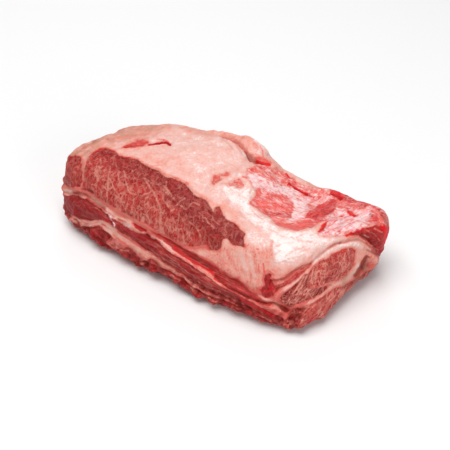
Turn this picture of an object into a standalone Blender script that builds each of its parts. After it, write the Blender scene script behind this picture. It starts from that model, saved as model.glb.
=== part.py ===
"""Boneless beef chuck roll, raw, lying fat side up.

Frame: metres, +Z up, X along the roll with the squared near end at +X, the long cut face towards -Y,
origin on the surface it lies on, under the middle of its bounding box.

One closed solid. A cube cut into an even grid is carried to the roll's squared-off block, then its
seams, folds, flaps and crags are raised and sunk along curves that lie on the block.
"""

import math

import bmesh
import bpy
import numpy as np
from mathutils import Vector, noise
from mathutils.bvhtree import BVHTree

# Driving dimensions: the eight corners of the squared-off block as (x, y, z), before the edges are
# rounded. A key names the far or near end, the front or back side, and the base or the crown.
CORNERS = {
    ("far", "front", "base"): (-0.222, -0.122, 0.0),
    ("far", "back", "base"): (-0.204, 0.108, 0.0),
    ("near", "front", "base"): (0.209, -0.102, 0.0),
    ("near", "back", "base"): (0.202, 0.120, 0.0),
    ("far", "front", "crown"): (-0.234, -0.086, 0.123),
    ("far", "back", "crown"): (-0.200, 0.090, 0.102),
    ("near", "front", "crown"): (0.160, -0.064, 0.114),
    ("near", "back", "crown"): (0.222, 0.108, 0.099),
}

# How far the middles stand proud of the block: the crown at five places from the far end to the near
# end, leaning its share towards the back, the front face half way up, and the front edge of the base.
CROWN_BULGE = (0.0, 0.009, 0.022, -0.017, 0.0)
CROWN_LEAN = 0.45
FRONT_BULGE = 0.010
FOOT_BULGE = 0.004

# How square the edges are: exponents of a superellipsoid, at the base and at each end of the crown.
BASE_SQUARENESS = 6.0
FAR_CROWN_SQUARENESS = 3.6
NEAR_CROWN_SQUARENESS = 5.4

# Cuts of the starting cube along X, Y and Z, and how often each square is then halved.
CAGE_CUTS = (14, 8, 5)
CAGE_HALVINGS = 4

# The underside is flat where the block comes down below this height, and the roll lies on that flat.
# Thinning lifts a few of its points by less than the slack, and they are put back on it.
FLAT_HEIGHT = 0.0025
FLAT_SLACK = 0.0003

TRIANGLES = 11200

# What shows from the near front corner is drawn on a sheet of squares that faces that corner from
# above. A point counts squares across and down from the sheet's upper left, and is carried to the
# block along the line of sight from an eye in front of the sheet's middle.
SHEET_MIDDLE = (0.010, 0.0, 0.037)
SHEET_AZIMUTH = 38.0
SHEET_ELEVATION = 39.5
EYE_DISTANCE = 1.2
SHEET_SQUARES = 450
SHEET_SQUARE = 0.001343

# Folds: a curve, its half width and its height in millimetres, below 0 for a groove.
NEAR_FOLDS = {
    "seam over the slab": (
        ((60, 186), (74, 195), (85, 197), (95, 202), (115, 216), (145, 233), (175, 250), (205, 267),
         (235, 284), (262, 298), (284, 307), (291, 314)), 5.0, -6.5),
    "seam under the slab": (
        ((66, 215), (80, 221), (100, 223), (116, 232), (140, 246), (166, 266), (189, 280), (217, 296),
         (240, 303), (279, 317)), 4.0, -4.5),
    "belly of the slab": (
        ((77, 206), (90, 211), (115, 224), (145, 241), (175, 261), (205, 278), (235, 293), (262, 304)),
        9.0, 4.0),
    "lip of fat under the slab": (
        ((82, 227), (100, 230), (116, 239), (140, 253), (166, 272), (189, 286), (217, 301)), 4.0, 2.0),
    "seam under the long muscle": (
        ((83, 189), (103, 203), (128, 216), (153, 224), (176, 243), (194, 250), (214, 251)), 4.0, -2.0),
    "wedge seam": (((156, 234), (170, 244), (185, 256), (207, 270), (222, 282)), 3.0, -3.5),
    "seam of the left strip": (((84, 153), (81, 165), (80, 176)), 4.0, -2.0),
    "cut edge of the fat cap": (
        ((84, 168), (95, 153), (114, 150), (131, 157), (157, 169), (185, 185), (204, 197), (226, 217),
         (246, 231)), 5.0, 1.8),
    "notch in the cap's edge": (((211, 203), (214, 212)), 4.0, -3.0),
    "rim of corner fat": (
        ((254, 186), (246, 199), (256, 213), (272, 225), (292, 232), (312, 229)), 6.0, 3.0),
    "near end, outer seam": (
        ((268, 286), (290, 279), (302, 268), (312, 261), (322, 252), (333, 246), (347, 241),
         (363, 239), (372, 243), (379, 251)), 4.0, -4.5),
    "near end, seam round the eye": (
        ((318, 284), (317, 267), (331, 257), (340, 251), (349, 248), (355, 252), (354, 264),
         (348, 273), (332, 283), (322, 291)), 3.5, -2.5),
    "near end, eye muscle": (((325, 272), (336, 266), (347, 257)), 9.0, 2.5),
    "near end, lower seam": (((356, 272), (345, 279), (328, 289), (308, 303), (294, 313)), 4.0, -4.0),
    "near end, lower roll": (((370, 268), (352, 286), (331, 300), (312, 312)), 6.0, 2.0),
    "near end, nub": (((368, 255), (376, 261)), 5.0, 4.5),
    "near end, hollow": (((365, 263), (367, 268)), 5.5, -9.0),
    "corner notch": (((283, 310), (288, 314), (293, 320)), 4.0, -5.0),
    "thin skin ridge": (((304, 216), (320, 210), (338, 203)), 6.0, 3.0),
    "fold under the skin ridge": (((303, 220), (323, 218), (345, 212)), 4.0, -3.0),
    "first cleft": (((296, 189), (303, 192), (311, 196)), 4.0, -5.5),
    "second cleft": (((332, 194), (341, 201)), 4.0, -5.0),
    "red lumps": (((344, 204), (357, 203), (370, 210)), 7.0, 3.0),
    "groove by the lumps": (((341, 214), (356, 214), (373, 220)), 4.0, -3.0),
    "back near muscle": (((346, 230), (362, 227), (382, 231)), 7.0, 2.5),
    "cap slit": (((147, 145), (160, 143), (170, 145)), 3.5, -5.0),
    "lip of the cap slit": (((154, 140), (161, 138), (168, 141)), 4.0, 3.5),
    "streak of the cap slit": (((128, 145), (147, 142)), 4.0, -2.0),
    "cap's far wrinkle": (((112, 141), (127, 137), (150, 135)), 4.0, -2.5),
    "cap's back slit": (((176, 128), (187, 131)), 3.0, -3.0),
    "groove before the back flap": (
        ((222, 137), (231, 141), (240, 147), (247, 154), (256, 161), (266, 166), (276, 170)), 5.0, -6.0),
    "streaked hollow": (((250, 171), (270, 176), (290, 184)), 7.0, -2.0),
}

# The back, as (x, z) in millimetres seen along -Y, and the far end, as (y, z) seen along +X.
BACK_FOLDS = {
    "back upper seam": (((-190, 70), (-120, 78), (-40, 70), (40, 74), (120, 66), (200, 62)), 5.0, -5.0),
    "back lower seam": (((-190, 34), (-110, 40), (-20, 30), (60, 36), (140, 28), (200, 34)), 4.5, -4.0),
    "back belly": (((-180, 52), (-100, 60), (-10, 50), (80, 55), (170, 46)), 10.0, 3.5),
    "back cross seam": (((-60, 104), (-42, 90), (-36, 70)), 4.0, -3.0),
}
FAR_FOLDS = {
    "far upper seam": (((-112, 60), (-70, 68), (-20, 62), (40, 70), (100, 60)), 4.5, -4.5),
    "far lower seam": (((-112, 28), (-50, 34), (20, 28), (96, 34)), 4.0, -3.5),
    "far eye seam": (
        ((-78, 74), (-66, 98), (-30, 110), (6, 102), (16, 82), (-6, 70)), 4.0, -3.0),
    "far belly": (((-90, 44), (-30, 50), (50, 46)), 9.0, 3.0),
}

# What stands up from the crown: a curve as (x, y) in millimetres seen from above, its half width and
# its height, below 0 for a dip.
CROWN_RISES = {
    "back shoulder": (((-120, 60), (-70, 66), (-20, 70)), 24.0, 5.5),
    "dip behind the thin skin": (((80, 66), (113, 78), (145, 88)), 22.0, -6.0),
    "back flap": (((-66, 79), (-45, 81), (-15, 82), (11, 79)), 11.0, 11.5),
    "spike": (((60, 69), (67, 66)), 4.0, 9.0),
}

# The ragged foot of the front: lumps on the sheet, their half width and how far they reach out.
FOOT_LUMPS = ((76, 214), (92, 235), (104, 246), (122, 253), (138, 264), (153, 270), (176, 282),
              (197, 294), (213, 301), (236, 309), (258, 316))
FOOT_LUMP_WIDTH = 7.0
FOOT_LUMP_REACH = 5.0

# Unevenness of the whole surface: size of the lumps and their height, in millimetres.
UNEVEN = ((60.0, 2.2), (22.0, 1.1), (9.0, 0.7))
CRAG_SIZE = 10.0
CRAG_HEIGHT = 4.0
CRAG_TOP = 0.030

MEAT_COLOUR = (0.46, 0.11, 0.09, 1.0)
MEAT_ROUGHNESS = 0.42


def profile(at, values):
    """A smooth curve through values spaced equally over -1 to 1, read at each of at."""
    values = np.asarray(values, float)
    steps = len(values) - 1
    place = np.clip((at + 1) / 2 * steps, 0, steps - 1e-9)
    first = place.astype(int)
    t = place - first
    padded = np.concatenate([[2 * values[0] - values[1]], values, [2 * values[-1] - values[-2]]])
    a, b, c, d = (padded[first + k] for k in range(4))
    return 0.5 * (2 * b + (c - a) * t + (2 * a - 5 * b + 4 * c - d) * t**2 + (3 * b - a - 3 * c + d) * t**3)


def smooth_curve(points, steps=8):
    """Points along a smooth curve through the given ones, steps to each span."""
    places = np.linspace(-1, 1, (len(points) - 1) * steps + 1)
    return np.stack([profile(places, coordinate) for coordinate in np.transpose(points)], axis=1)


def block_form(cube):
    """Carries points of the cube -1 to 1 to the roll's squared-off block."""
    crown = FAR_CROWN_SQUARENESS + (NEAR_CROWN_SQUARENESS - FAR_CROWN_SQUARENESS) * (cube[:, 0] + 1) / 2
    square = BASE_SQUARENESS + (crown - BASE_SQUARENESS) * (cube[:, 2] + 1) / 2
    size = (np.abs(cube) ** square[:, None]).sum(axis=1) ** (1 / square)
    u, v, w = (cube / size[:, None]).T
    shares = {"far": 1 - u, "near": 1 + u, "front": 1 - v, "back": 1 + v, "base": 1 - w, "crown": 1 + w}
    placed = sum(
        np.outer(shares[end] * shares[side] * shares[level] / 8, corner)
        for (end, side, level), corner in CORNERS.items()
    )
    placed[:, 2] += (1 + w) / 2 * (1 - v**2) * (1 + CROWN_LEAN * v) * profile(u, CROWN_BULGE)
    swell = FRONT_BULGE * (1 - w**2) + FOOT_BULGE * (1 - w) / 2
    placed[:, 1] -= swell * (1 - u**2) * np.clip(-v, 0, 1)
    return placed


def make_cage():
    """A cube cut into an even grid, with its own count of squares for each direction."""
    cage = bmesh.new()
    bmesh.ops.create_cube(cage, size=2)
    for axis, cuts in enumerate(CAGE_CUTS):
        along = [e for e in cage.edges if abs(e.verts[0].co[axis] - e.verts[1].co[axis]) > 1.9]
        bmesh.ops.subdivide_edges(cage, edges=along, cuts=cuts, use_grid_fill=True)
    bmesh.ops.subdivide_edges(cage, edges=cage.edges[:], cuts=2**(CAGE_HALVINGS - 1) - 1, use_grid_fill=True)
    return cage


class Block:
    """The squared-off block as a target that drawn curves are carried to."""

    def __init__(self, mesh):
        self.tree = BVHTree.FromBMesh(mesh)
        azimuth, elevation = math.radians(SHEET_AZIMUTH), math.radians(SHEET_ELEVATION)
        self.right = Vector((math.cos(azimuth), math.sin(azimuth), 0))
        self.towards_eye = Vector((
            math.sin(azimuth) * math.cos(elevation), -math.cos(azimuth) * math.cos(elevation),
            math.sin(elevation)))
        self.up = self.towards_eye.cross(self.right)
        self.eye = Vector(SHEET_MIDDLE) + self.towards_eye * EYE_DISTANCE

    def from_sheet(self, points):
        """Places on the block of points in squares on the sheet."""
        half = SHEET_SQUARES / 2
        places = []
        for across, down in smooth_curve(points):
            sight = -self.towards_eye * EYE_DISTANCE
            sight += self.right * ((across - half) * SHEET_SQUARE) + self.up * ((half - down) * SHEET_SQUARE)
            places.append(self.tree.ray_cast(self.eye, sight)[0])
        return np.array([place for place in places if place is not None])

    def from_back(self, points):
        """Places on the block of (x, z) in millimetres, seen along -Y."""
        places = [self.tree.ray_cast(Vector((x, 500, z)) / 1000, Vector((0, -1, 0)))[0]
                  for x, z in smooth_curve(points)]
        return np.array([place for place in places if place is not None])

    def from_above(self, points):
        """Places on the block of (x, y) in millimetres, seen along -Z."""
        places = [self.tree.ray_cast(Vector((x, y, 500)) / 1000, Vector((0, 0, -1)))[0]
                  for x, y in smooth_curve(points)]
        return np.array([place for place in places if place is not None])

    def from_far_end(self, points):
        """Places on the block of (y, z) in millimetres, seen along +X."""
        places = [self.tree.ray_cast(Vector((-500, y, z)) / 1000, Vector((1, 0, 0)))[0]
                  for y, z in smooth_curve(points)]
        return np.array([place for place in places if place is not None])


def nearness(points, path, half_width):
    """1 on the path, falling smoothly to 0 a few half widths away."""
    share = np.zeros(len(points))
    reach = 3 * half_width
    near = np.flatnonzero(((points > path.min(0) - reach) & (points < path.max(0) + reach)).all(axis=1))
    apart = np.linalg.norm(points[near, None] - path[None], axis=2).min(axis=1)
    share[near] = np.exp(-(apart / half_width) ** 2)
    return share


def fold_heights(points, block):
    """How far the folds raise each point along its normal."""
    height = np.zeros(len(points))
    for carry, folds in ((block.from_sheet, NEAR_FOLDS), (block.from_back, BACK_FOLDS),
                         (block.from_far_end, FAR_FOLDS)):
        for curve, half_width, rise in folds.values():
            height += nearness(points, carry(curve), half_width / 1000) * rise / 1000
    return height


def uneven_heights(points):
    """Lumps over the whole surface, and sharper crags low down."""
    height = np.empty(len(points))
    for at, point in enumerate(points):
        place = Vector(point) * 1000
        height[at] = sum(noise.noise(place / size) * rise for size, rise in UNEVEN)
        low = min(max((CRAG_TOP - point[2]) / CRAG_TOP, 0), 1)
        crag = noise.ridged_multi_fractal(place / CRAG_SIZE, 1.0, 2.1, 3, 1.0, 2.0) - 1.2
        height[at] += crag * CRAG_HEIGHT * low * (1 - low) * 2
    return height / 1000


def raise_relief(points, normals, block):
    """The block's points with every fold, flap, lump and crag."""
    shaped = points + normals * (fold_heights(points, block) + uneven_heights(points))[:, None]
    for place in FOOT_LUMPS:
        path = block.from_sheet((place, place))
        if len(path):
            reach = nearness(points, path, FOOT_LUMP_WIDTH / 1000) * FOOT_LUMP_REACH / 1000
            shaped += normals * reach[:, None]
    for curve, half_width, rise in CROWN_RISES.values():
        near = nearness(points, block.from_above(curve), half_width / 1000)
        shaped[:, 2] += near * (2 - near) * rise / 1000
    shaped[:, 2] = np.maximum(shaped[:, 2], FLAT_HEIGHT)
    return shaped


def meat_material():
    material = bpy.data.materials.new("chuck_roll")
    material.use_nodes = True
    shader = material.node_tree.nodes["Principled BSDF"]
    shader.inputs["Base Color"].default_value = MEAT_COLOUR
    shader.inputs["Roughness"].default_value = MEAT_ROUGHNESS
    shader.inputs["Metallic"].default_value = 0.0
    return material


def thinned(mesh, collection):
    """The mesh with its flatter faces joined until TRIANGLES are left."""
    dense = bpy.data.objects.new("dense", mesh)
    collection.objects.link(dense)
    thin = dense.modifiers.new("Thin", "DECIMATE")
    thin.ratio = TRIANGLES / sum(len(face.vertices) - 2 for face in mesh.polygons)
    thin.use_collapse_triangulate = True
    result = bpy.data.meshes.new_from_object(dense.evaluated_get(bpy.context.evaluated_depsgraph_get()))
    bpy.data.objects.remove(dense)
    return result


def settle(mesh):
    """Puts the middle of the mesh's box over the origin, and the flat of its underside on z = 0."""
    corners = np.array([vertex.co for vertex in mesh.vertices])
    middle = (corners.min(axis=0) + corners.max(axis=0)) / 2
    for vertex in mesh.vertices:
        vertex.co -= Vector((middle[0], middle[1], FLAT_HEIGHT))
        if vertex.co.z < FLAT_SLACK:
            vertex.co.z = 0.0


def main():
    for old in list(bpy.data.objects):
        bpy.data.objects.remove(old)
    collection = bpy.data.collections.new("chuck_roll")
    bpy.context.scene.collection.children.link(collection)

    cage = make_cage()
    placed = block_form(np.array([vertex.co for vertex in cage.verts]))
    for vertex, place in zip(cage.verts, placed):
        vertex.co = place
    cage.normal_update()
    points = np.array([vertex.co for vertex in cage.verts])
    normals = np.array([vertex.normal for vertex in cage.verts])
    for vertex, place in zip(cage.verts, raise_relief(points, normals, Block(cage))):
        vertex.co = place
    dense = bpy.data.meshes.new("dense")
    cage.to_mesh(dense)
    cage.free()

    mesh = thinned(dense, collection)
    settle(mesh)
    mesh.name = "chuck_roll"
    mesh.shade_smooth()
    mesh.materials.append(meat_material())
    roll = bpy.data.objects.new("chuck_roll", mesh)
    collection.objects.link(roll)


main()
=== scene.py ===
"""Finish of a raw beef chuck roll: its fat cap, marbled muscle, seams, skins and ragged foot."""

import math

import bmesh
import bpy
import numpy as np
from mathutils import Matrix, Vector, noise


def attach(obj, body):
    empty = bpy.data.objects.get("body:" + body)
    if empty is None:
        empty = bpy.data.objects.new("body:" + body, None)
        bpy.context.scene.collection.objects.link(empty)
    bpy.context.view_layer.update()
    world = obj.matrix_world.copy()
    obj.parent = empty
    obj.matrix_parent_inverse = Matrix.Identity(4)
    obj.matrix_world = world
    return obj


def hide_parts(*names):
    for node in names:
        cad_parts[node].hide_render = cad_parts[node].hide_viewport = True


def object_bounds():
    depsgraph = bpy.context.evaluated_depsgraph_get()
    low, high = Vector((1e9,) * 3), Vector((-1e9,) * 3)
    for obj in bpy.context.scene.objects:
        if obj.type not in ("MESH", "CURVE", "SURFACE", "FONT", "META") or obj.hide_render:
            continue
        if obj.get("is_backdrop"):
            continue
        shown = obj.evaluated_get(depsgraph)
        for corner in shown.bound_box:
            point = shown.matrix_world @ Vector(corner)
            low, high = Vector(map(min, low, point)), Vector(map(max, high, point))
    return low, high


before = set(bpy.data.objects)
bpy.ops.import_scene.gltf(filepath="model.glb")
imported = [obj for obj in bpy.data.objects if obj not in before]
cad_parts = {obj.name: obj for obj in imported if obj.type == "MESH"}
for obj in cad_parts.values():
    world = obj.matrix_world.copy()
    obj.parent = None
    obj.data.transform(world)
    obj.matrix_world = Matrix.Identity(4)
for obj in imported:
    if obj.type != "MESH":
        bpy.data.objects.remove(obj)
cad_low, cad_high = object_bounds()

# The viewpoint: a long lens that looks down on the roll's near front corner, with the long cut face
# on the left and the squared end on the right.
AZIMUTH = math.radians(38.0)
ELEVATION = math.radians(39.5)
EYE_DISTANCE = 1.2
LENS = 71.5
SENSOR = 36.0
AIM = Vector((0.01713, 0.0032, 0.0345))

towards_eye = Vector((
    math.sin(AZIMUTH) * math.cos(ELEVATION), -math.cos(AZIMUTH) * math.cos(ELEVATION), math.sin(ELEVATION)))
eye = AIM + towards_eye * EYE_DISTANCE
camera = bpy.data.objects.new("camera", bpy.data.cameras.new("camera"))
camera.data.lens = LENS
camera.data.sensor_width = SENSOR
camera.location = eye
camera.rotation_euler = towards_eye.to_track_quat("Z", "Y").to_euler()
bpy.context.scene.collection.objects.link(camera)
bpy.context.scene.camera = camera
bpy.context.scene.view_settings.view_transform = "Standard"

# The body of the roll: a whole boneless shoulder cut in one piece, soft and moist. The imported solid's
# flat facets are rounded off, and its skin is made of small even faces, smallest where it faces the eye.
FACE_SIZE = 0.0030
ROUNDINGS = 4
BARELY_HIDDEN = -0.15

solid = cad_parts["chuck_roll"]
skin = bmesh.new()
skin.from_mesh(solid.data)
bmesh.ops.remove_doubles(skin, verts=skin.verts, dist=0.00001)
mesh = bpy.data.meshes.new("rough_roll")
skin.to_mesh(mesh)
skin.free()
rough = bpy.data.objects.new("rough_roll", mesh)
bpy.context.scene.collection.objects.link(rough)
even = rough.modifiers.new("Even", "REMESH")
even.mode = "VOXEL"
even.voxel_size = FACE_SIZE
soften = rough.modifiers.new("Soften", "SMOOTH")
soften.factor = 0.6
soften.iterations = ROUNDINGS
skin = bmesh.new()
skin.from_mesh(bpy.data.meshes.new_from_object(rough.evaluated_get(bpy.context.evaluated_depsgraph_get())))
bpy.data.objects.remove(rough)
skin.normal_update()
split = {edge for face in skin.faces for edge in face.edges
         if face.normal.dot((eye - face.calc_center_median()).normalized()) > BARELY_HIDDEN}
bmesh.ops.subdivide_edges(skin, edges=list(split), cuts=1, use_grid_fill=True)
bmesh.ops.smooth_vert(skin, verts=skin.verts, factor=0.5, use_axis_x=True, use_axis_y=True, use_axis_z=True)
mesh = bpy.data.meshes.new("chuck_roll_flesh")
skin.to_mesh(mesh)
skin.free()


def read(name):
    """The mesh's points or normals as rows of three numbers."""
    values = np.empty(len(mesh.vertices) * 3, np.float32)
    source = mesh.vertices if name == "co" else mesh.vertex_normals
    source.foreach_get(name if name == "co" else "vector", values)
    return values.reshape(-1, 3).astype(float)


points, normals = read("co"), read("normal")

# What shows from the viewpoint is drawn on a sheet of squares that fills the view. A curve on it
# counts squares across and down from the upper left, and marks the roll where the eye sees it.
SHEET_SQUARES = 450
SQUARE_MM = 1000 * EYE_DISTANCE * SENSOR / LENS / SHEET_SQUARES
REACH_SQUARES = 25
FAR_OFF = -40.0

right_axis = np.array([math.cos(AZIMUTH), math.sin(AZIMUTH), 0.0])
eye_axis = np.array(towards_eye)
up_axis = np.cross(eye_axis, right_axis)
sight = points - np.array(eye)
depth = -(sight @ eye_axis)
sheet = np.stack([
    SHEET_SQUARES / 2 + sight @ right_axis / depth * EYE_DISTANCE * 1000 / SQUARE_MM,
    SHEET_SQUARES / 2 - sight @ up_axis / depth * EYE_DISTANCE * 1000 / SQUARE_MM], axis=1)
facing = -(normals * sight).sum(axis=1) / np.linalg.norm(sight, axis=1)


def swept(curve, closed=False, steps=4):
    """A smooth curve through the points of curve."""
    knots = np.array(curve, float)
    if closed:
        knots = np.concatenate([knots[-1:], knots, knots[:2]])
    else:
        knots = np.concatenate([2 * knots[:1] - knots[1:2], knots, 2 * knots[-1:] - knots[-2:-1]])
    t = np.linspace(0, 1, steps, endpoint=False)[None, :, None]
    a, b, c, d = (knots[k:len(knots) - 3 + k, None] for k in range(4))
    path = 0.5 * (2 * b + (c - a) * t + (2 * a - 5 * b + 4 * c - d) * t**2 + (3 * b - a - 3 * c + d) * t**3)
    return np.concatenate([path.reshape(-1, knots.shape[1]), knots[-2:-1]])


def gap(path, places):
    """How far each of places is from the path."""
    best = np.full(len(places), 1e9)
    for start, end in zip(path[:-1], path[1:]):
        along = end - start
        share = np.clip((places - start) @ along / max(along @ along, 1e-12), 0, 1)
        best = np.minimum(best, ((places - start - share[:, None] * along) ** 2).sum(axis=1))
    return np.sqrt(best)


def close_to(path):
    """The numbers of the points that lie within reach of a path on the sheet."""
    right_of = drawn > path.min(axis=0) - REACH_SQUARES
    left_of = drawn < path.max(axis=0) + REACH_SQUARES
    return np.flatnonzero((right_of & left_of).all(axis=1))


def inside(outline):
    """How deep each point lies inside an outline on the sheet, in millimetres, below 0 outside it."""
    path = swept(outline, closed=True)
    near = close_to(path)
    places = drawn[near]
    odd = np.zeros(len(near), bool)
    for (x0, y0), (x1, y1) in zip(path[:-1], path[1:]):
        if y0 != y1:
            crosses = (places[:, 1] < y0) != (places[:, 1] < y1)
            odd ^= crosses & (places[:, 0] < x0 + (places[:, 1] - y0) * (x1 - x0) / (y1 - y0))
    result = np.full(len(points), FAR_OFF)
    result[near] = gap(path, places) * np.where(odd, 1, -1) * SQUARE_MM
    return result


def beside(curve):
    """How far each point lies from a curve on the sheet, in millimetres."""
    path = swept(curve)
    near = close_to(path)
    result = np.full(len(points), -FAR_OFF)
    result[near] = gap(path, drawn[near]) * SQUARE_MM
    return result


def ramp(low, high, value):
    """0 below low, 1 above high, and a smooth step between."""
    t = np.clip((value - low) / (high - low), 0, 1)
    return t * t * (3 - 2 * t)


def lumpy(size, seed=0.0):
    """Smooth noise of about -1 to 1 over the roll, its lumps size millimetres across."""
    shift = Vector((seed * 17.3, seed * 5.1, seed * 9.7))
    scale = 1000 / size
    return np.array([noise.noise(Vector(p) * scale + shift) for p in points]) * 1.6


# Curves wander a little on their way over the roll, as cut flesh never runs true.
drawn = sheet + np.stack([0.35 * lumpy(6.0, 11.0) + 0.6 * lumpy(16.0, 13.0),
                          0.35 * lumpy(6.0, 12.0) + 0.6 * lumpy(16.0, 14.0)], axis=1)

# Each point holds the tissue there, with some painted light and shade: lean is how deep it lies in muscle,
# in millimetres, and the rest run from 0 to 1. The crease field holds painted shade in seams, clefts, nicks
# and crags; the silver skin field also holds painted sheen and glints; dark also holds painted shade in
# hollows and clefts, and white a painted highlight and a painted shade line on the corner fat. Grain is the
# place along and across the muscle's own fibres. Relief is the height in millimetres by which the surface
# leaves the plain body.
seen = ramp(-0.06, 0.10, facing)
lean = np.full(len(points), FAR_OFF)
dark, marbling = np.full(len(points), 0.4), np.full(len(points), 0.3)
white = 0.12 + 0.50 * ramp(0.25, 0.75, normals[:, 2])
tan, blood, crease_shade, skin_and_sheen, strand, relief = (np.zeros(len(points)) for _ in range(6))
fray = 0.65 * lumpy(13.0, 5.0) + 0.5 * lumpy(5.0, 6.0)
grain = points * (1000 / 12.0)


def along_grain(fibre, length, width):
    """Places measured along fibre in steps of length and across it in steps of width, in millimetres."""
    fibre = np.array(fibre, float) / np.linalg.norm(fibre)
    run = points @ fibre
    return (points - run[:, None] * fibre) * (1000 / width) + (run * 1000 / length)[:, None] * fibre


def muscle(outline, tone, marbled, fibre, sheathed=0.0, soft=1.0, frayed=0.6):
    """Lays a muscle inside an outline: its tone, its marbling, its fibres and the silver skin on it."""
    depth_in = inside(outline) + frayed * fray
    lean[:] = np.maximum(lean, depth_in)
    share = ramp(-soft, soft, depth_in) * seen
    for field, value in ((dark, tone), (marbling, marbled), (skin_and_sheen, sheathed)):
        field[:] += (value - field) * share
    own = share > 0.5
    grain[own] = along_grain(*fibre)[own]


def line(field, curve, half_width, strength=1.0):
    """Marks a field along a curve, fading out over its half width in millimetres."""
    field[:] = np.maximum(field, strength * (1 - ramp(0.3, 1.0, beside(curve) / half_width)) * seen)


def brush(field, curve, half_width, value, strength=1.0):
    """Brings a field to a value along a curve, fading over its half width in millimetres."""
    field[:] += (value - field) * strength * (1 - ramp(0.2, 1.0, beside(curve) / half_width)) * seen


def patch(field, outline, value, soft=3.0):
    """Brings a field to a value inside an outline, fading over soft millimetres."""
    field[:] += (value - field) * ramp(-soft, soft, inside(outline)) * seen


def swell(curve, half_width, height):
    """Fills out or hollows the body along a curve near its outline, in millimetres."""
    relief[:] += height * (1 - ramp(0.0, 1.0, beside(curve) / half_width)) * ramp(-0.75, -0.25, facing)


def fold(curve, half_width, height):
    """Raises the surface along a curve, or sinks it where height is below 0, in millimetres."""
    relief[:] += height * (1 - ramp(0.0, 1.0, beside(curve) / half_width)) * seen


# Fat shows the run of the sheets it is laid down in: along the roll low on the front, and slanting on
# the squared end. A fibre's values are its direction, and the length and width of its grain.
LENGTHWISE = ((1.0, 0.05, -0.08), 34.0, 3.2)
SLANTING = ((0.0, 0.86, 0.50), 20.0, 4.0)
for laid, fibre in ((normals[:, 1] < -0.35, LENGTHWISE), (normals[:, 0] > 0.55, SLANTING)):
    grain[laid] = along_grain(*fibre)[laid]

# The long muscle: the marbled rib-end muscle that the front cut lays open from end to end, its
# fibres cut across so that the fat between them shows as a pale net. In each section a table's row
# holds a curve and then the values that line, brush or patch takes after it.
UPRIGHT = ((0.25, 0.0, -1.0), 14.0, 6.6)
LONG_MUSCLE = (
    (83.6, 180), (84, 171.5), (85.7, 163), (88.2, 158), (92.3, 153), (98, 149), (104.8, 148), (112, 150),
    (121, 155.5), (127, 157), (133.8, 158.2), (139.6, 161.5), (146.6, 165.7), (158, 170.6), (166.5, 176.4),
    (178.9, 179.8), (188, 187.2), (194.7, 194.7), (203, 198.8), (209.6, 204.6), (212.5, 210.5),
    (215.4, 207.1), (219.6, 206.3), (222, 209.6), (224.5, 216.2), (227.8, 220.4), (234.5, 222.9),
    (239.5, 227.8), (245.3, 233.7), (243.6, 238), (243.6, 246.1), (239.5, 245.3), (234.5, 244.4),
    (231, 243.5), (227, 238.6), (222.9, 241.1), (219.6, 249.4), (214.6, 251.1), (209.6, 249.4),
    (206.3, 244.8), (200.5, 245.8), (194, 246.6), (188, 247.2), (179.8, 243.8), (171.5, 240.2),
    (163.2, 235.2), (154.9, 230.4), (144.9, 225), (133, 218.6), (125.5, 214.4), (119.7, 211), (113, 207.2),
    (106.4, 203.4), (101.4, 200.8), (92.3, 194.6), (83.2, 189))
LONG_MUSCLE_SHADE = (
    (98, 146), (130, 155), (160, 168), (190, 186), (206, 198), (222, 204), (248, 232), (246, 250),
    (214, 256), (202, 240), (190, 224), (172, 204), (150, 186), (128, 174), (104, 162))
FATTY_FOOT = (
    (86, 186), (98, 188), (110, 186), (118, 178), (128, 184), (140, 192), (152, 204), (166, 216),
    (182, 228), (186, 242), (166, 234), (140, 221), (116, 208), (98, 197))
PALE_POCKET = ((94, 166), (100, 165), (104, 170), (103, 178), (99, 181), (95, 175))
LEFT_STRIP = (
    (52, 157), (60, 156.6), (68.3, 156.2), (75, 155.5), (81.4, 157.2), (82, 165), (81.2, 176), (79.6, 187),
    (71.6, 187), (64, 185.5), (52, 185))
FATTINESS = (
    (LONG_MUSCLE_SHADE, 0.42, 8.0), (FATTY_FOOT, 0.86, 7.0), (PALE_POCKET, 1.4, 4.0))
STRIP_EDGE = ((82, 156), (82.6, 168), (82, 178), (80.6, 186))
TOP_OF_LONG_MUSCLE = (
    (121, 152.5), (134, 156.6), (147, 163.6), (158, 168.8), (168, 174.6), (180, 178.4), (190, 185.6),
    (197, 192.5), (206, 198), (213, 204.4))
STRIP_SHADE = ((82, 157), (82.8, 168), (82.2, 178), (80.8, 186))
LONG_MUSCLE_BLOOD = (
    (((96, 151), (101, 148.6), (106, 148), (113, 150.4), (121, 155.4), (134, 158.8)), 2.0, 0.42),
    (((160, 190), (161, 194), (160.4, 198)), 2.6, 0.34), (((207, 245), (209, 250), (211.3, 255)), 1.8, 0.4))
MAIN_VEINS = (
    ((109.9, 167.6), (108.7, 174.4), (108.1, 180), (106.6, 188), (105.3, 196)),
    ((109.5, 178), (111.2, 181.5), (114.4, 189), (117.4, 195)),
    ((124, 170), (125, 178), (126.5, 186), (130, 192), (137, 195)),
    ((143, 178), (148, 184.5), (152.5, 191), (157, 201), (160, 211), (160.5, 221), (162, 229)),
    ((166, 181), (166.4, 188), (170, 194), (174.4, 199)),
    ((163, 194), (163, 200), (166, 203.5), (170, 207)),
    ((170, 210), (174, 208), (178, 202.4), (184, 197.6)),
    ((189, 221), (195, 227), (198.4, 233), (200, 240)), ((189, 204.6), (193.5, 202), (199, 205)),
    ((205, 217), (209, 222.5), (213.5, 227.5)))
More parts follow.
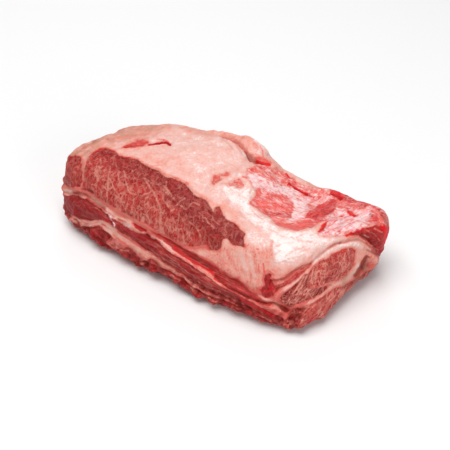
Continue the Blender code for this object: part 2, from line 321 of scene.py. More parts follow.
SIDE_VEINS = (
    ((117.3, 197.4), (122.5, 204), (125.4, 211)), ((139.1, 205), (137, 211), (134.5, 215.4)),
    ((133.4, 201.6), (131, 207.6), (132.2, 212.4)), ((143, 214), (147, 218), (150.4, 223.4)),
    ((143, 177.4), (149, 181.4), (155, 184), (162, 185), (167, 190)),
    ((178, 203), (181, 206), (184.4, 209), (189, 205)), ((176, 209), (180, 217), (184, 222), (184.4, 230)),
    ((151.4, 190.5), (148, 193), (144, 194.6)), ((168, 219), (165, 224), (168.4, 230.4)),
    ((227.6, 222.5), (225.5, 226), (224.4, 229.5)), ((223.2, 213.5), (225.5, 217), (228.6, 220.5)),
    ((94.5, 168), (97, 173), (96, 180)), ((91, 184.5), (97, 187.5), (101, 193)),
    ((100, 158), (101.6, 164), (100.4, 170)), ((115, 160), (116.4, 166), (119, 171.4)),
    ((118, 178), (120.4, 184), (119, 190)), ((132, 170), (134, 176.4), (137.4, 181)),
    ((172, 216), (174.5, 222), (178, 229)), ((186, 229), (188, 235), (191, 240.5)),
    ((198, 212), (202, 216), (203.4, 222)), ((212, 214), (215, 220), (219, 224)))
POOLS_OF_FAT = (
    ((133, 189), (140, 193), (148, 199)), ((158, 206), (160.5, 214), (162, 224)), ((168, 205), (171, 209)),
    ((165, 190), (166.6, 194)), ((147, 219), (153, 225), (160, 230)), ((104, 186), (110, 193), (118, 200)),
    ((170, 228), (180, 234), (190, 240)), ((128, 207), (135, 213), (142, 219)))
muscle(LONG_MUSCLE, 0.66, 0.66, UPRIGHT)
patch(dark, LONG_MUSCLE_SHADE, 0.9, 8.0)
patch(dark, FATTY_FOOT, 0.56, 7.0)
for area in FATTINESS:
    patch(marbling, *area)
patch(tan, LONG_MUSCLE, 0.76, 2.0)
patch(tan, LONG_MUSCLE_SHADE, 0.85, 8.0)
tan *= ramp(-1.0, 0.6, inside(LONG_MUSCLE))
muscle(LEFT_STRIP, 0.66, 0.52, UPRIGHT, 0.0, 2.0, 2.6)
patch(tan, LEFT_STRIP, 1.0, 3.0)
brush(white, STRIP_EDGE, 4.0, 0.04)
brush(white, TOP_OF_LONG_MUSCLE, 3.2, 0.3, 0.75)
brush(tan, STRIP_SHADE, 5.0, 0.9, 0.8)
for stroke in LONG_MUSCLE_BLOOD:
    line(blood, *stroke)
for vein in MAIN_VEINS:
    line(strand, vein, 2.1, 0.58)
for branch in SIDE_VEINS:
    line(strand, branch, 1.6, 0.5)
for pool in POOLS_OF_FAT:
    brush(marbling, pool, 5.0, 1.35, 0.7)

# The slab under the long seam: a dark flat muscle whose fibres run the length of the roll, with a
# thinner wedge of the same above it and bands of pink fat on both sides.
SLAB = (
    (50, 195), (65, 195.5), (71.6, 194), (79.9, 197), (86.5, 199), (92.3, 203), (99.8, 208.5), (104.8, 212),
    (113, 218), (121.3, 222.8), (126.3, 226.5), (134, 230.5), (141, 232.6), (148, 235), (153.5, 238),
    (160, 243), (166, 248.2), (172.6, 253.0), (181, 258.3), (189.4, 263.5), (196, 268.2), (203.3, 273),
    (209, 277), (215.1, 281.8), (222, 286.5), (229, 290), (238, 295), (248.7, 301), (256, 305),
    (263.6, 309), (272, 313), (282, 318), (281, 322.5), (268, 318.5), (256, 313.5), (243, 308), (229, 301),
    (215, 295), (201.3, 289), (189.4, 280.5), (177.6, 271.5), (164.7, 262.5), (154.5, 254.8),
    (146.2, 249.6), (137.9, 243.8), (129.6, 238.8), (121.3, 233), (114.7, 228), (106.4, 222.3),
    (99.8, 219.9), (90.7, 220.6), (82.4, 220.6), (74, 216.4), (68.3, 213.9), (50, 211))
STREAKED_SLAB = (
    (150, 242), (166, 251), (184, 262), (204, 273), (222, 286), (246, 300), (262, 308), (262, 318),
    (240, 309), (214, 297), (190, 284), (170, 270), (152, 255))
WEDGE = (
    (150, 231.5), (156.8, 233.7), (165.7, 238.6), (172, 243), (179.5, 247.5), (187, 251.5), (195.4, 255.4),
    (202, 258.8), (209.2, 262.3), (217.1, 268.3), (220, 272), (225, 273.2), (229, 277.5), (236.9, 279.1),
    (242.8, 284.1), (248.7, 289), (256.6, 294), (263.6, 299.9), (272, 304), (268, 306.5), (257, 303),
    (248.7, 299.5), (238.9, 294.6), (229, 289.4), (222, 283), (215, 277), (209.2, 272.2), (201.3, 266.5),
    (195.4, 264), (187.4, 260), (181.5, 256), (174, 250), (165, 242.8), (156.5, 236.4))
RED_SLIVER = ((133.5, 223.5), (137.5, 225), (145.5, 230.5), (144.5, 233), (138, 230), (134.8, 227))
SLAB_HOLLOW_SHADE = ((120, 226), (134, 234), (148, 242), (158, 250))
FAR_HOLLOW_SHADE = ((66, 202), (78, 205), (92, 211))
SLAB_BLOOD = (
    (((134, 224.5), (140, 228), (145, 232)), 3.2, 0.36),
    (((156.5, 234.3), (161, 237), (166.5, 241)), 1.9, 0.62),
    (((174, 247.5), (182, 253.5), (189, 259.5)), 3.4, 0.5),
    (((175, 253.6), (182, 258), (190, 263)), 2.4, 0.46), (((188, 258.5), (200, 265), (214, 274)), 2.2, 0.7),
    (((196, 275), (206, 280), (216, 287)), 2.4, 0.3), (((214.5, 278.4), (219.5, 281.2)), 3.0, 0.62),
    (((240, 299), (252, 305.5), (262, 310.5), (272, 315.5)), 3.8, 0.5),
    (((60.5, 189), (62, 194)), 3.5, 0.5))
SLAB_STRANDS = (
    ((95, 207), (103, 212.5), (110, 219), (118, 225.5)), ((118, 232), (126, 236.5), (134, 241.5)),
    ((150, 250.5), (162, 258.5), (175, 267.5)), ((172, 262), (184, 270.5), (196, 278)),
    ((160, 252), (170, 258), (178, 264.5)), ((196, 282), (208, 288), (220, 292.5)),
    ((205, 277), (216, 285), (226, 291)), ((218, 296), (232, 300.5), (246, 305)),
    ((118, 235.5), (130, 243), (142, 250.5)))
BLOODY_EDGES = (
    ((86, 198), (94, 203), (104, 209.5), (113, 216)), ((118, 218.5), (126, 222.4)),
    ((146, 235.4), (154, 239.6), (161, 245.4)), ((222, 285.8), (234, 292.6), (246, 298.8)),
    ((76, 219.8), (86, 223.6), (97, 223)), ((112, 235), (120, 240.5), (130, 246)),
    ((148, 258.5), (160, 265), (173, 272.5)), ((180, 278.5), (190, 287), (201, 293.5)))
BANDS_ABOVE_SLAB = (
    (((139, 225.6), (150, 232), (160, 239.6)), 2.0, 0.3),
    (((194, 264), (204, 270), (215, 277.5)), 3.0, 0.3),
    (((158, 241), (166, 247.6), (176, 254.6)), 2.6, 0.16))
THREADS_OF_FAT = (
    ((156, 238.6), (164, 243.6), (174, 250.6)), ((160, 243), (168, 249.4), (178, 256)),
    ((128, 232), (138, 240), (146, 246)))
BANDS_BELOW_SLAB = (
    (((107, 226), (120, 235.5), (134, 245.5), (153, 259), (168, 267.6), (183, 277), (197, 285)), 1.7, 0.62),
    (((195, 265.3), (203, 270.5), (211, 276.5), (221, 283), (231, 290.4), (240, 295.4), (258, 305.8),
      (272, 310.5)), 2.8, 0.34),
    (((60, 187.6), (70, 188.6), (84, 191)), 3.0, 0.06, 0.75), (((66, 190), (71, 191)), 2.2, 0.62),
    (((74, 217.3), (82, 221.5), (92, 221.6), (101.4, 221.4), (108, 224.5), (116, 231)), 3.2, 0.55),
    (((82.4, 226.2), (91.5, 225.2), (100, 223.8)), 2.6, 0.6),
    (((113, 232), (124, 240), (136, 248), (146, 255), (158, 262), (172, 270.5), (186, 280)), 4.6, 0.36),
    (((70, 221), (78, 227), (84, 229)), 3.0, 0.4))
SHADE_ABOVE_SLAB = (
    (62, 186), (84, 188), (104, 200), (124, 212), (142, 222), (150, 229), (138, 228), (118, 219), (98, 206),
    (80, 196), (62, 192))
SHADE_OF_BAND = (
    (112, 232), (124, 238), (140, 250), (160, 262), (176, 272), (168, 274), (148, 262), (130, 250),
    (116, 242))
BLOOD_ON_BAND = ((113, 236), (119, 243), (124, 246))
muscle(SLAB, 1.04, 0.15, ((1.0, 0.05, -0.08), 18.0, 4.0))
muscle(WEDGE, 0.72, 0.26, LENGTHWISE)
muscle(RED_SLIVER, 0.7, 0.0, LENGTHWISE)
# Painted shade: the hollows along the seams by the slab are darkened.
brush(dark, SLAB_HOLLOW_SHADE, 4.5, 1.25, 0.8)
brush(dark, FAR_HOLLOW_SHADE, 5.0, 1.22, 0.7)
patch(marbling, STREAKED_SLAB, 0.26, 3.0)
patch(dark, STREAKED_SLAB, 0.94, 3.0)
patch(blood, STREAKED_SLAB, 0.16, 3.0)
for stroke in SLAB_BLOOD:
    line(blood, *stroke)
for strip in SLAB_STRANDS:
    line(strand, strip, 1.6, 0.36)
for strip in BLOODY_EDGES:
    brush(white, strip, 1.8, 0.0, 0.8)
    line(blood, strip, 1.6, 0.3)
for stroke in BANDS_ABOVE_SLAB:
    brush(white, *stroke)
for thin in THREADS_OF_FAT:
    brush(white, thin, 1.4, 0.9, 0.5)
for stroke in BANDS_BELOW_SLAB:
    brush(white, *stroke)
patch(tan, SHADE_ABOVE_SLAB, 0.42, 3.0)
patch(tan, SHADE_OF_BAND, 0.5, 3.0)
brush(blood, BLOOD_ON_BAND, 5.0, 0.22)

# The foot: torn dark lean under the lowest band of fat, where the roll was pulled off the bone.
TORN = ((1.0, 0.0, -0.2), 18.0, 5.0)
FOOT = (
    (46, 226), (66, 221), (75, 224), (82, 227), (90, 226.5), (98, 225.5), (103, 229), (106, 233),
    (109, 238), (106, 243), (111, 248), (116, 250), (120, 248.5), (126, 247.8), (132, 249.5), (136, 255),
    (141, 261.5), (146, 262), (150, 258.5), (155, 260.5), (160, 266), (169.7, 271.5), (179.5, 276.8),
    (187.4, 283.5), (195.4, 290), (207.2, 295.8), (219, 299.5), (232, 304), (245, 308.5), (258, 314),
    (270, 319), (279, 323), (290, 325), (294, 350), (200, 345), (120, 300), (46, 260))
DARKEST_FOOT = ((82, 228), (92, 226.5), (103, 231), (108, 240), (100, 243), (94, 240), (86, 234))
SCRAPS_OF_FAT = (
    ((84, 240), (90, 245)), ((99, 246), (106, 249)), ((121, 250), (127, 251.6)), ((139, 264), (144, 265)),
    ((158, 263), (164, 269)), ((170, 276), (178, 281)), ((190, 288), (196, 293)),
    ((208, 299), (216, 302.6)), ((232, 307), (240, 311)), ((262, 318.6), (270, 322)))
FOOT_BLOOD = (
    (((101, 228), (103, 229.5)), 3.0, 0.45), (((102, 243), (106, 245)), 3.4, 0.5),
    (((114, 238), (115, 243)), 3.0, 0.25))
muscle(FOOT, 0.98, 0.32, TORN)
patch(blood, FOOT, 0.32, 2.0)
patch(dark, DARKEST_FOOT, 1.1, 3.0)
for scrap in SCRAPS_OF_FAT:
    line(strand, scrap, 2.4, 0.62)
for stroke in FOOT_BLOOD:
    line(blood, *stroke)

# The squared near end: an eye of muscle in a ring of fat, streaky lean under it, and dark lean
# above it at the back corner.
EYE_OF_END = (
    (311, 270), (315.3, 264.5), (322, 260.5), (328, 258.2), (331, 256), (333, 253.8), (340, 250.5),
    (346.5, 248.2), (352, 248), (355, 250.5), (355.6, 256), (354.5, 263), (352.6, 268), (349, 273.5),
    (344.8, 277.4), (337, 281), (328, 283.3), (321, 285.5), (314, 289.5), (307, 289), (307.5, 281))
END_STREAKS = (
    (280, 300.5), (284, 294), (290, 289.5), (296, 284), (302, 279.5), (306.5, 274.5), (309, 277),
    (308.5, 284), (309, 288), (316, 288.5), (325, 286), (331, 284.8), (326, 290), (317, 296), (307, 301.5),
    (297, 305), (287, 307))
END_FOLD = (
    (271, 288), (281, 283.5), (289, 278.5), (296, 273), (303, 268), (311, 262), (312, 264.2), (304, 271.2),
    (296, 278), (289, 283.5), (281, 288.5), (275, 292))
END_LOWER = (
    (279, 324), (287, 318), (292, 311), (300, 307.5), (309.4, 304), (320, 298.5), (328.3, 292.5),
    (335, 288), (342, 286), (350, 282), (358, 277), (365, 271.5), (372, 268), (382, 262), (400, 268),
    (400, 290), (350, 322), (320, 350), (279, 350))
END_UPPER = (
    (346, 235.5), (355, 231.5), (364.8, 228), (373, 226), (381, 224), (392, 226), (398, 240), (394, 252),
    (381.2, 256), (376, 252.5), (371.5, 246), (366, 239), (357, 235.8))
EYE_CORE = ((331, 256), (340, 249), (352, 247), (357, 256), (351, 267), (340, 262))
BLOODY_SPOTS = (
    ((371, 227.4), (379, 229.6)), ((372, 240), (377, 245)), ((380, 247), (383, 250)))
SHADED_HOLLOWS = (
    (((358, 233), (370, 236.6), (378, 242), (382, 250)), 5.0, 1.2, 0.9),
    (((300, 318), (292, 322)), 10.0, 0.95), (((345, 287), (353, 281), (361, 275)), 7.0, 0.95, 0.8),
    (((372, 248), (378, 252)), 5.0, 1.1))
UPPER_BLOOD = ((362, 234.6), (370, 238), (376, 243))
SALMON_FLECKS = (
    ((366, 230.6), (374, 234), (379, 240)), ((374, 228.6), (381, 232)), ((371, 245), (377, 249)),
    ((365, 235.6), (369, 237.4)))
END_VEINS = (
    ((305.1, 275), (302, 280), (299.3, 285), (293.5, 294), (289.5, 299), (286, 304.6)),
    ((311.8, 267), (307.5, 276), (303, 284), (299, 292), (295.2, 299.6)),
    ((308.4, 290), (310, 294), (312, 297.4)), ((320.5, 284), (323.4, 288), (322.5, 293), (319, 297)),
    ((337, 282.6), (332, 287), (326, 291)), ((316.7, 298), (308.4, 303.4), (299, 307)),
    ((334, 266), (338, 262), (342, 264), (343, 269)), ((346, 252), (344.5, 258), (346.5, 264)),
    ((351, 256), (350, 262), (347, 268)), ((331, 272), (336, 270), (341, 272)),
    ((318, 270), (322, 274), (327, 275)), ((331.7, 293.8), (328.5, 299), (323, 306)),
    ((341, 288.5), (336, 295), (330, 302)), ((316, 304), (310, 310), (305, 315.5)),
    ((348, 285), (344, 291), (339, 296)), ((313, 277), (311.5, 282), (314, 286)))
FAT_ROUND_EYE = (
    (300, 270), (345, 238), (366, 242), (372, 256), (360, 270), (340, 287), (312, 302), (296, 296))
EYE_RIM = (
    (314, 262.5), (323, 255.5), (334, 249), (345, 245), (354, 244), (361, 247), (362.5, 258), (358, 268))
PALE_EYE_EDGE = ((357, 249), (364, 248), (372, 254), (368, 262), (361, 265), (357, 258))
PALE_FOLDS = (
    ((276, 287.4), (288, 280.6), (299, 272.2), (309, 264.4)), ((284, 291), (294, 283), (304, 273.6)))
RED_FOLDS = (
    ((281, 284.6), (292, 276.6), (303, 268)), ((286, 287.4), (296, 279), (305, 270.6)),
    ((331, 246.2), (341, 242), (351, 240.6)))
END_BANDS = (
    (((306, 305), (319, 297.5), (330, 288), (345, 280), (357.5, 270)), 1.9, 0.6),
    (((290, 305), (296, 295), (302.5, 285), (312.5, 268.8), (320, 261)), 2.4, 0.62),
    (((301, 290), (306, 280), (312, 268), (322, 259)), 2.4, 0.4),
    (((370, 257), (374, 259.5), (376, 263)), 4.5, 0.25))
TANNED_WEDGE = ((342, 279), (352, 273), (362, 266), (370, 270), (360, 282), (348, 291), (342, 287))
TANNED_SPOT = ((328, 262), (336, 262), (341, 267), (338, 272), (330, 273), (326, 268))
MARBLED_WEDGE = ((342, 279), (352, 273), (362, 266), (372, 268), (362, 282), (348, 291), (342, 287))
END_BLOOD = (
    (((383, 226), (386.5, 233), (386, 242)), 7.5, 1.0),
    (((346.5, 235.6), (355, 232), (361.5, 229)), 3.4, 0.85),
    (((332, 254.6), (340, 251), (347, 248.6)), 1.8, 0.4))
LEAN_FOOT = ((266, 309.5), (280, 311), (290, 308), (292, 322), (276, 321))
DULL_FOLD = ((268, 305), (275, 307.4), (283, 310.6))
DULL_EDGE = ((256, 296.6), (264, 300.4), (272, 303))
muscle(EYE_OF_END, 0.66, 0.9, ((0.2, 0.45, 1.0), 11.0, 5.0))
patch(marbling, EYE_CORE, 0.6, 4.0)
muscle(END_STREAKS, 1.02, 0.76, SLANTING)
muscle(END_FOLD, 0.55, 0.45, SLANTING)
muscle(END_LOWER, 0.66, 0.76, ((0.0, 0.9, 0.42), 18.0, 5.5))
muscle(END_UPPER, 0.92, 0.16, ((0.1, 0.75, 0.6), 13.0, 7.5))
patch(blood, END_UPPER, 0.34, 3.0)
for spot in BLOODY_SPOTS:
    line(blood, spot, 3.2, 0.42)
# Painted shade: the hollows of the end, under the back corner and along its crevices, are darkened.
for stroke in SHADED_HOLLOWS:
    brush(dark, *stroke)
brush(blood, UPPER_BLOOD, 3.4, 0.1, 0.8)
for salmon in SALMON_FLECKS:
    line(strand, salmon, 2.2, 0.5)
for vein in END_VEINS:
    line(strand, vein, 1.7, 0.52)
patch(white, FAT_ROUND_EYE, 0.46, 4.0)
brush(white, EYE_RIM, 4.4, 0.78)
patch(white, PALE_EYE_EDGE, 0.36, 3.0)
for pale_fold in PALE_FOLDS:
    brush(white, pale_fold, 1.6, 0.62, 0.8)
for red_fold in RED_FOLDS:
    line(blood, red_fold, 1.6, 0.34)
for stroke in END_BANDS:
    brush(white, *stroke)
patch(tan, TANNED_WEDGE, 0.95, 3.0)
patch(tan, TANNED_SPOT, 0.8, 3.0)
patch(marbling, MARBLED_WEDGE, 0.95, 3.0)
for stroke in END_BLOOD:
    line(blood, *stroke)
patch(white, LEAN_FOOT, 0.02, 2.0)
brush(white, DULL_FOLD, 4.4, 0.26, 0.9)
brush(white, DULL_EDGE, 3.2, 0.3, 0.8)

# The front corner: thick fat that the front cut and the end share, white on top and streaked down
# the front, with a dark bruise at its foot.
BRUISE = (
    (264.6, 272.5), (270.5, 274), (272.5, 280), (275, 286), (277.4, 290), (274.5, 294.5), (271.5, 297),
    (265.5, 298), (261.5, 294), (258.3, 289.5), (265.5, 285.5), (263.8, 279))
CORNER_FAT = (
    (238, 196), (244, 203), (250, 213), (258, 224), (266, 232), (273, 238), (273.5, 250), (277, 262),
    (284, 267), (296, 263), (306, 255), (316, 248), (328, 242), (336, 239), (326, 238), (314, 233),
    (300, 232), (284, 229), (268, 219), (256, 209), (249, 202), (246, 194))
# The corner's fat is white, and its whitest part is brightened further as a painted highlight.
WHITEST_AND_HIGHLIGHT = (
    (270, 238), (273, 250), (277, 263), (284, 264), (290, 256), (300, 248), (310, 243), (316, 238),
    (308, 234), (296, 236), (284, 234), (277, 236))
FRONT_FAT = (
    (226, 246), (233, 246), (242, 248), (248, 238), (258, 238), (270, 243), (271.5, 262), (266, 272),
    (262, 284), (259, 294), (250, 288), (238, 279), (226, 271), (212, 262), (206, 256), (214, 254))
BRUISE_BLOOD = ((260, 290), (266, 292), (272, 288))
PALE_AREAS = (
    (CORNER_FAT, 0.9, 7.0),
    (((222, 187), (238, 184), (254, 190), (250, 202), (256, 211), (270, 220), (264, 227), (250, 221),
      (240, 209), (230, 201)), 0.86, 4.0),
    (((221, 203), (230, 207), (240, 219), (250, 230), (246, 233), (236, 225), (226, 213)), 0.42, 2.5),
    (WHITEST_AND_HIGHLIGHT, 0.97, 8.0), (FRONT_FAT, 0.27, 5.0))
DULL_FRONT = ((248, 258), (251, 268), (254, 279))
PINK_FRONT = ((234, 250), (246, 248), (252, 256), (251, 266), (244, 270), (237, 262))
BRIGHT_FRONT = (
    (245, 231), (253, 230), (262, 234), (271, 238), (270.6, 247), (262, 250), (253, 246), (247.6, 240))
FRONT_STREAKS = (
    (((241, 250), (243.4, 262), (248.6, 279)), 0.68), (((249, 247), (251, 262), (254.6, 282)), 0.62),
    (((256.4, 245), (257.6, 256), (259.6, 268)), 0.66), (((232, 251), (236, 263), (243, 275)), 0.6),
    (((222, 255), (228, 264), (236, 273)), 0.56), (((245.6, 249), (247.4, 262), (251.6, 279)), 0.12),
    (((253.4, 247), (254.6, 258), (257, 272)), 0.14), (((237, 252), (239.6, 263), (245, 276)), 0.16),
    (((227, 252), (232, 263), (239, 273)), 0.2), (((262, 244), (263, 254), (262, 262)), 0.12),
    (((266.6, 243), (267.4, 252), (266, 262)), 0.16))
PINK_POCKET = ((262, 262), (272, 262), (284, 267), (297, 266), (290, 273), (276, 277), (264, 273))
CORNER_FOLD_SHADE = ((272.4, 242), (271.6, 250), (272.4, 258))
POCKET_FAT = ((274, 263), (284, 266.6), (294, 264), (304, 258))
PINK_WRINKLES = (
    ((276, 247), (284, 243.6), (293, 243)), ((284, 256.6), (294, 251), (305, 247)),
    ((279, 263), (289, 259), (300, 256.6)), ((274, 254), (280, 251)), ((296, 237), (304, 234)),
    ((278, 273), (286, 271.5)), ((286, 262), (296, 262.5)), ((291, 237.5), (301, 240.5), (312, 242)),
    ((300, 252), (310, 248)), ((268, 228), (276, 233), (283, 236)))
PINK_CREASES = (
    ((250, 208), (256, 214), (262, 219)), ((245, 220), (254, 226), (262, 234)),
    ((240, 214), (246, 222), (250, 232)))
RED_SPOTS = (
    ((249, 237), (250.6, 238)), ((264, 240.6), (266, 241.6)), ((269, 243), (270.6, 246.6)),
    ((259, 244), (261, 244.6)), ((268, 262), (269.6, 264.6)), ((262, 276), (263, 279)),
    ((268.6, 270), (270, 272)))
RED_DRIPS = (
    (((258.6, 264), (259.6, 271.5)), 1.9, 0.55), (((263.6, 263), (264.8, 272)), 2.2, 0.6),
    (((256.8, 249), (258.2, 249.2)), 2.8, 0.55))
muscle(BRUISE, 0.8, 0.12, ((0.2, 0.0, -1.0), 16.0, 6.0), 0.0, 2.0, 2.2)
patch(blood, BRUISE, 0.2, 2.5)
line(blood, BRUISE_BLOOD, 3.2, 0.4)
for area in PALE_AREAS:
    patch(white, *area)
brush(white, DULL_FRONT, 6.0, 0.5, 0.6)
patch(white, PINK_FRONT, 0.48, 4.0)
patch(white, BRIGHT_FRONT, 0.74, 5.0)
own = inside(FRONT_FAT) > -3
grain[own] = along_grain((0.1, 0.0, -1.0), 34.0, 4.0)[own]
for curve, shade in FRONT_STREAKS:
    brush(white, curve, 2.8, shade, 0.34)
patch(white, PINK_POCKET, 0.36, 8.0)
# Painted shade: a salmon line down the corner's fold, between the white top fat and the front fat.
brush(white, CORNER_FOLD_SHADE, 3.0, 0.26, 0.8)
brush(white, POCKET_FAT, 8.0, 0.62, 0.6)
for curve in PINK_WRINKLES:
    brush(white, curve, 2.2, 0.56, 0.5)
for curve in PINK_CREASES:
    brush(white, curve, 2.0, 0.55, 0.6)
for spot in RED_SPOTS:
    line(blood, spot, 2.0, 0.34)
for stroke in RED_DRIPS:
    line(blood, *stroke)

# The top towards the near end: flat muscles under thin silver skin, with red clefts between them.
# The clefts and hollows are darkened with painted shade, and painted sheen and glints lie on the skin.
ALONG_TOP = ((0.9, 0.30, 0.0), 24.0, 6.5)
ACROSS_TOP = ((0.15, 1.0, -0.1), 24.0, 5.5)
SKINNED_TOP = (
    (249, 168), (262, 166), (275, 168), (290, 173), (302, 181), (312, 182), (330, 188), (350, 193),
    (372, 198), (386, 208), (394, 224), (386, 225), (374, 225.5), (362, 228.5), (352, 232.5), (344, 236),
    (335, 237.5), (324, 236), (318, 232.5), (320, 228), (326, 221), (316, 219), (309, 221.5), (297, 222.5),
    (287, 219), (280, 214), (266, 206), (258, 198), (255, 190), (252, 182), (247, 173))
SKIN_MUSCLE = (
    (257.2, 190), (254, 197), (249.2, 203.1), (254, 207.5), (260, 211.3), (266.6, 216), (273, 220.6),
    (281, 221.8), (288, 221), (292.5, 215), (293.7, 207.5), (291.9, 201), (285.3, 195.5), (275.9, 192.4),
    (264.7, 191.3))
SECOND_STRIP = (
    (271, 220.5), (278, 225), (285, 228.6), (295.6, 230), (303, 229), (310.6, 227.2), (318, 224),
    (325, 220.4), (318, 219.2), (310.6, 219.4), (303, 220.8), (297.5, 222.5), (287, 223), (279, 222))
VEILED_RED = (
    (305.5, 216.5), (308, 212), (314, 208), (321.2, 205), (328, 201.5), (335.3, 201.5), (335.5, 209),
    (325.5, 217.5), (315, 217.8))
BACK_LUMPS = (
    (331, 190), (345, 193), (362, 195), (376, 203), (388, 218), (390, 226), (378, 225), (368, 223),
    (370, 213), (360, 211), (348, 210), (339, 209), (336, 202))
RED_NICK = ((318.8, 232), (320.4, 228), (324.4, 222.6), (326.5, 224), (323.5, 230))
CAP_PATCH = (
    (211.5, 183), (213, 179), (214.6, 176.4), (219.6, 174), (227, 172.6), (226.5, 175), (221, 177.5),
    (217, 181), (215, 184.5))
CAP_LOOP = ((228.7, 184.7), (233.7, 181.2), (240.3, 180.3), (243.8, 184), (239.5, 187.8), (235.5, 186))
BACK_SHEET = (
    (249, 168), (262, 167), (275, 169), (290, 175), (304, 184), (308, 191), (300, 190), (288, 185),
    (274, 180.5), (260, 177), (250, 174))
SILVER_SHEET = (
    (250, 176), (262, 178), (276, 182), (290, 187), (300, 192), (306, 196), (312, 200), (306, 206),
    (304, 214), (300, 220), (292, 219), (293, 208), (288, 198), (276, 192), (262, 190), (253, 188))
RED_SHEET = (
    (306, 187), (318, 188), (332, 194), (331, 199), (322, 203), (312, 202), (304, 194))
NEAR_SHEET = (
    (326, 221), (336, 213), (350, 210), (366, 210.5), (372, 214), (364, 222), (354, 229), (344, 235),
    (334, 237), (324, 235.5), (318.5, 232))
SKIN_HOLLOW_SHADE = ((268, 213), (279, 215.4), (289, 215))
SKIN_SHEEN = ((261, 194.6), (271, 199), (283, 202))
LUMP_CLEFTS = (
    ((333, 194), (337, 198), (341, 201)), ((345, 201), (355, 204), (366, 208)), ((352, 197), (362, 201)),
    ((374, 208), (380, 216)), ((369, 217), (376, 222)))
CAP_PATCH_LINES = (
    ((214, 180.6), (217, 176), (222, 174), (228, 172.4), (235, 171)),
    ((220, 183), (228, 183.4), (236, 186), (243, 187.6)),
    ((226, 184), (232, 180.6), (240, 180), (244, 183.6)), ((216, 179), (224, 177.6)),
    ((230.6, 193.6), (232.6, 195.6)), ((210, 192), (212.6, 189)))
NEAR_SHEEN = ((287, 221.5), (296, 221), (304, 219))
NEAR_HOLLOW_SHADE = ((276, 213), (284, 216), (291, 218))
GLINTS = (
    ((201, 171), (206, 167.4), (209.4, 165)), ((214, 199), (220, 197), (226, 198.6)),
    ((233, 199), (236, 204)), ((262, 181), (272, 184.6), (284, 187.4)),
    ((297, 199), (303, 206), (301, 213)), ((340, 215), (352, 217), (364, 214)), ((328, 230), (340, 226.6)),
    ((287, 222), (294, 219)))
DEEP_SPOTS = (
    ((242.6, 177.2), (247.4, 177.9)), ((249.6, 169.4), (253.4, 171)))
FAINT_SPOTS = (
    ((214, 180), (217, 177)), ((224, 174.6), (228.4, 173)))
LINE_BEHIND_SKIN = ((289, 184), (297, 187.4), (303, 190.6), (307, 193.6), (311, 195.4))
BACK_STREAKS = (
    ((253, 171), (262, 173), (272, 175.5), (284, 179), (294, 183.5)),
    ((258, 175.6), (270, 178.4), (282, 182)), ((290, 188), (300, 194), (308, 200)),
    ((246, 168.5), (252, 170.4)))
CLEFTS = (
    ((290.6, 183), (296, 187.2)), ((297.4, 188.6), (306.6, 193.4)),
    ((332, 193.6), (337, 197), (341.6, 201)), ((348.4, 212.4), (354.4, 216.4)))
CLEFT_BLOOD = (
    (((331, 193.4), (336, 196.4), (341, 200)), 4.2, 0.62),
    (((348, 212.6), (351.5, 214.6), (354, 216.6)), 3.2, 0.75),
    (((305.5, 216.9), (315, 218.3), (325, 219.6)), 1.7, 0.75),
    (((319.5, 231.5), (322, 226.5), (325.5, 222.8)), 2.6, 0.75),
    (((310, 214.5), (318, 209.5), (326, 205.5), (334, 202)), 2.4, 0.4))
NEAR_STREAKS = (
    ((328, 226), (336, 221), (346, 214)), ((334, 231), (344, 226), (356, 218.5)), ((326, 233), (332, 230)),
    ((344, 232), (352, 228), (360, 222)), ((357, 214), (362, 211)))
muscle(SKINNED_TOP, 0.1, 0.9, ALONG_TOP, 0.46, 2.0, 2.5)
muscle(BACK_SHEET, 0.05, 0.76, ALONG_TOP, 0.32, 3.0, 5.0)
muscle(SILVER_SHEET, 0.05, 0.8, ALONG_TOP, 0.72, 3.0, 5.0)
muscle(RED_SHEET, 0.14, 0.44, ACROSS_TOP, 0.34, 3.0, 5.0)
muscle(NEAR_SHEET, 0.12, 0.1, ACROSS_TOP, 0.6, 3.0, 5.0)
muscle(SKIN_MUSCLE, 0.08, 0.3, ALONG_TOP, 0.27, 1.0, 0.8)
# Painted shade darkens the hollow along the skin muscle's lower edge.
brush(dark, SKIN_HOLLOW_SHADE, 8.0, 0.36, 0.8)
# Painted sheen: silver-skin white brushed on as a highlight along the skin muscle.
brush(skin_and_sheen, SKIN_SHEEN, 6.5, 0.38, 0.6)
muscle(SECOND_STRIP, 0.1, 0.12, ALONG_TOP, 0.2, 1.0, 0.8)
muscle(VEILED_RED, 0.44, 0.1, ACROSS_TOP, 0.18, 1.2, 1.0)
muscle(BACK_LUMPS, 0.16, 0.34, ((0.7, 0.7, 0.0), 12.0, 6.0), 0.24, 2.5, 3.0)
patch(blood, BACK_LUMPS, 0.16, 2.5)
# The clefts between the back lumps are darkened with painted shade and streaked with blood.
for curve in LUMP_CLEFTS:
    brush(dark, curve, 3.6, 0.8, 0.8)
    line(blood, curve, 3.0, 0.46)
muscle(RED_NICK, 0.55, 0.0, ACROSS_TOP)
muscle(CAP_PATCH, 0.26, 0.8, ((0.3, 0.9, 0.0), 9.0, 4.0), 0.2, 1.5, 2.6)
muscle(CAP_LOOP, 0.12, 0.9, ((0.3, 0.9, 0.0), 9.0, 4.0), 0.26, 1.5, 2.6)
for streak in CAP_PATCH_LINES:
    line(blood, streak, 1.5, 0.34)
# Painted sheen: silver-skin white brushed on as a highlight.
brush(skin_and_sheen, NEAR_SHEEN, 2.6, 0.5)
# Painted shade darkens the hollow below the skin muscle.
brush(dark, NEAR_HOLLOW_SHADE, 4.0, 0.5)
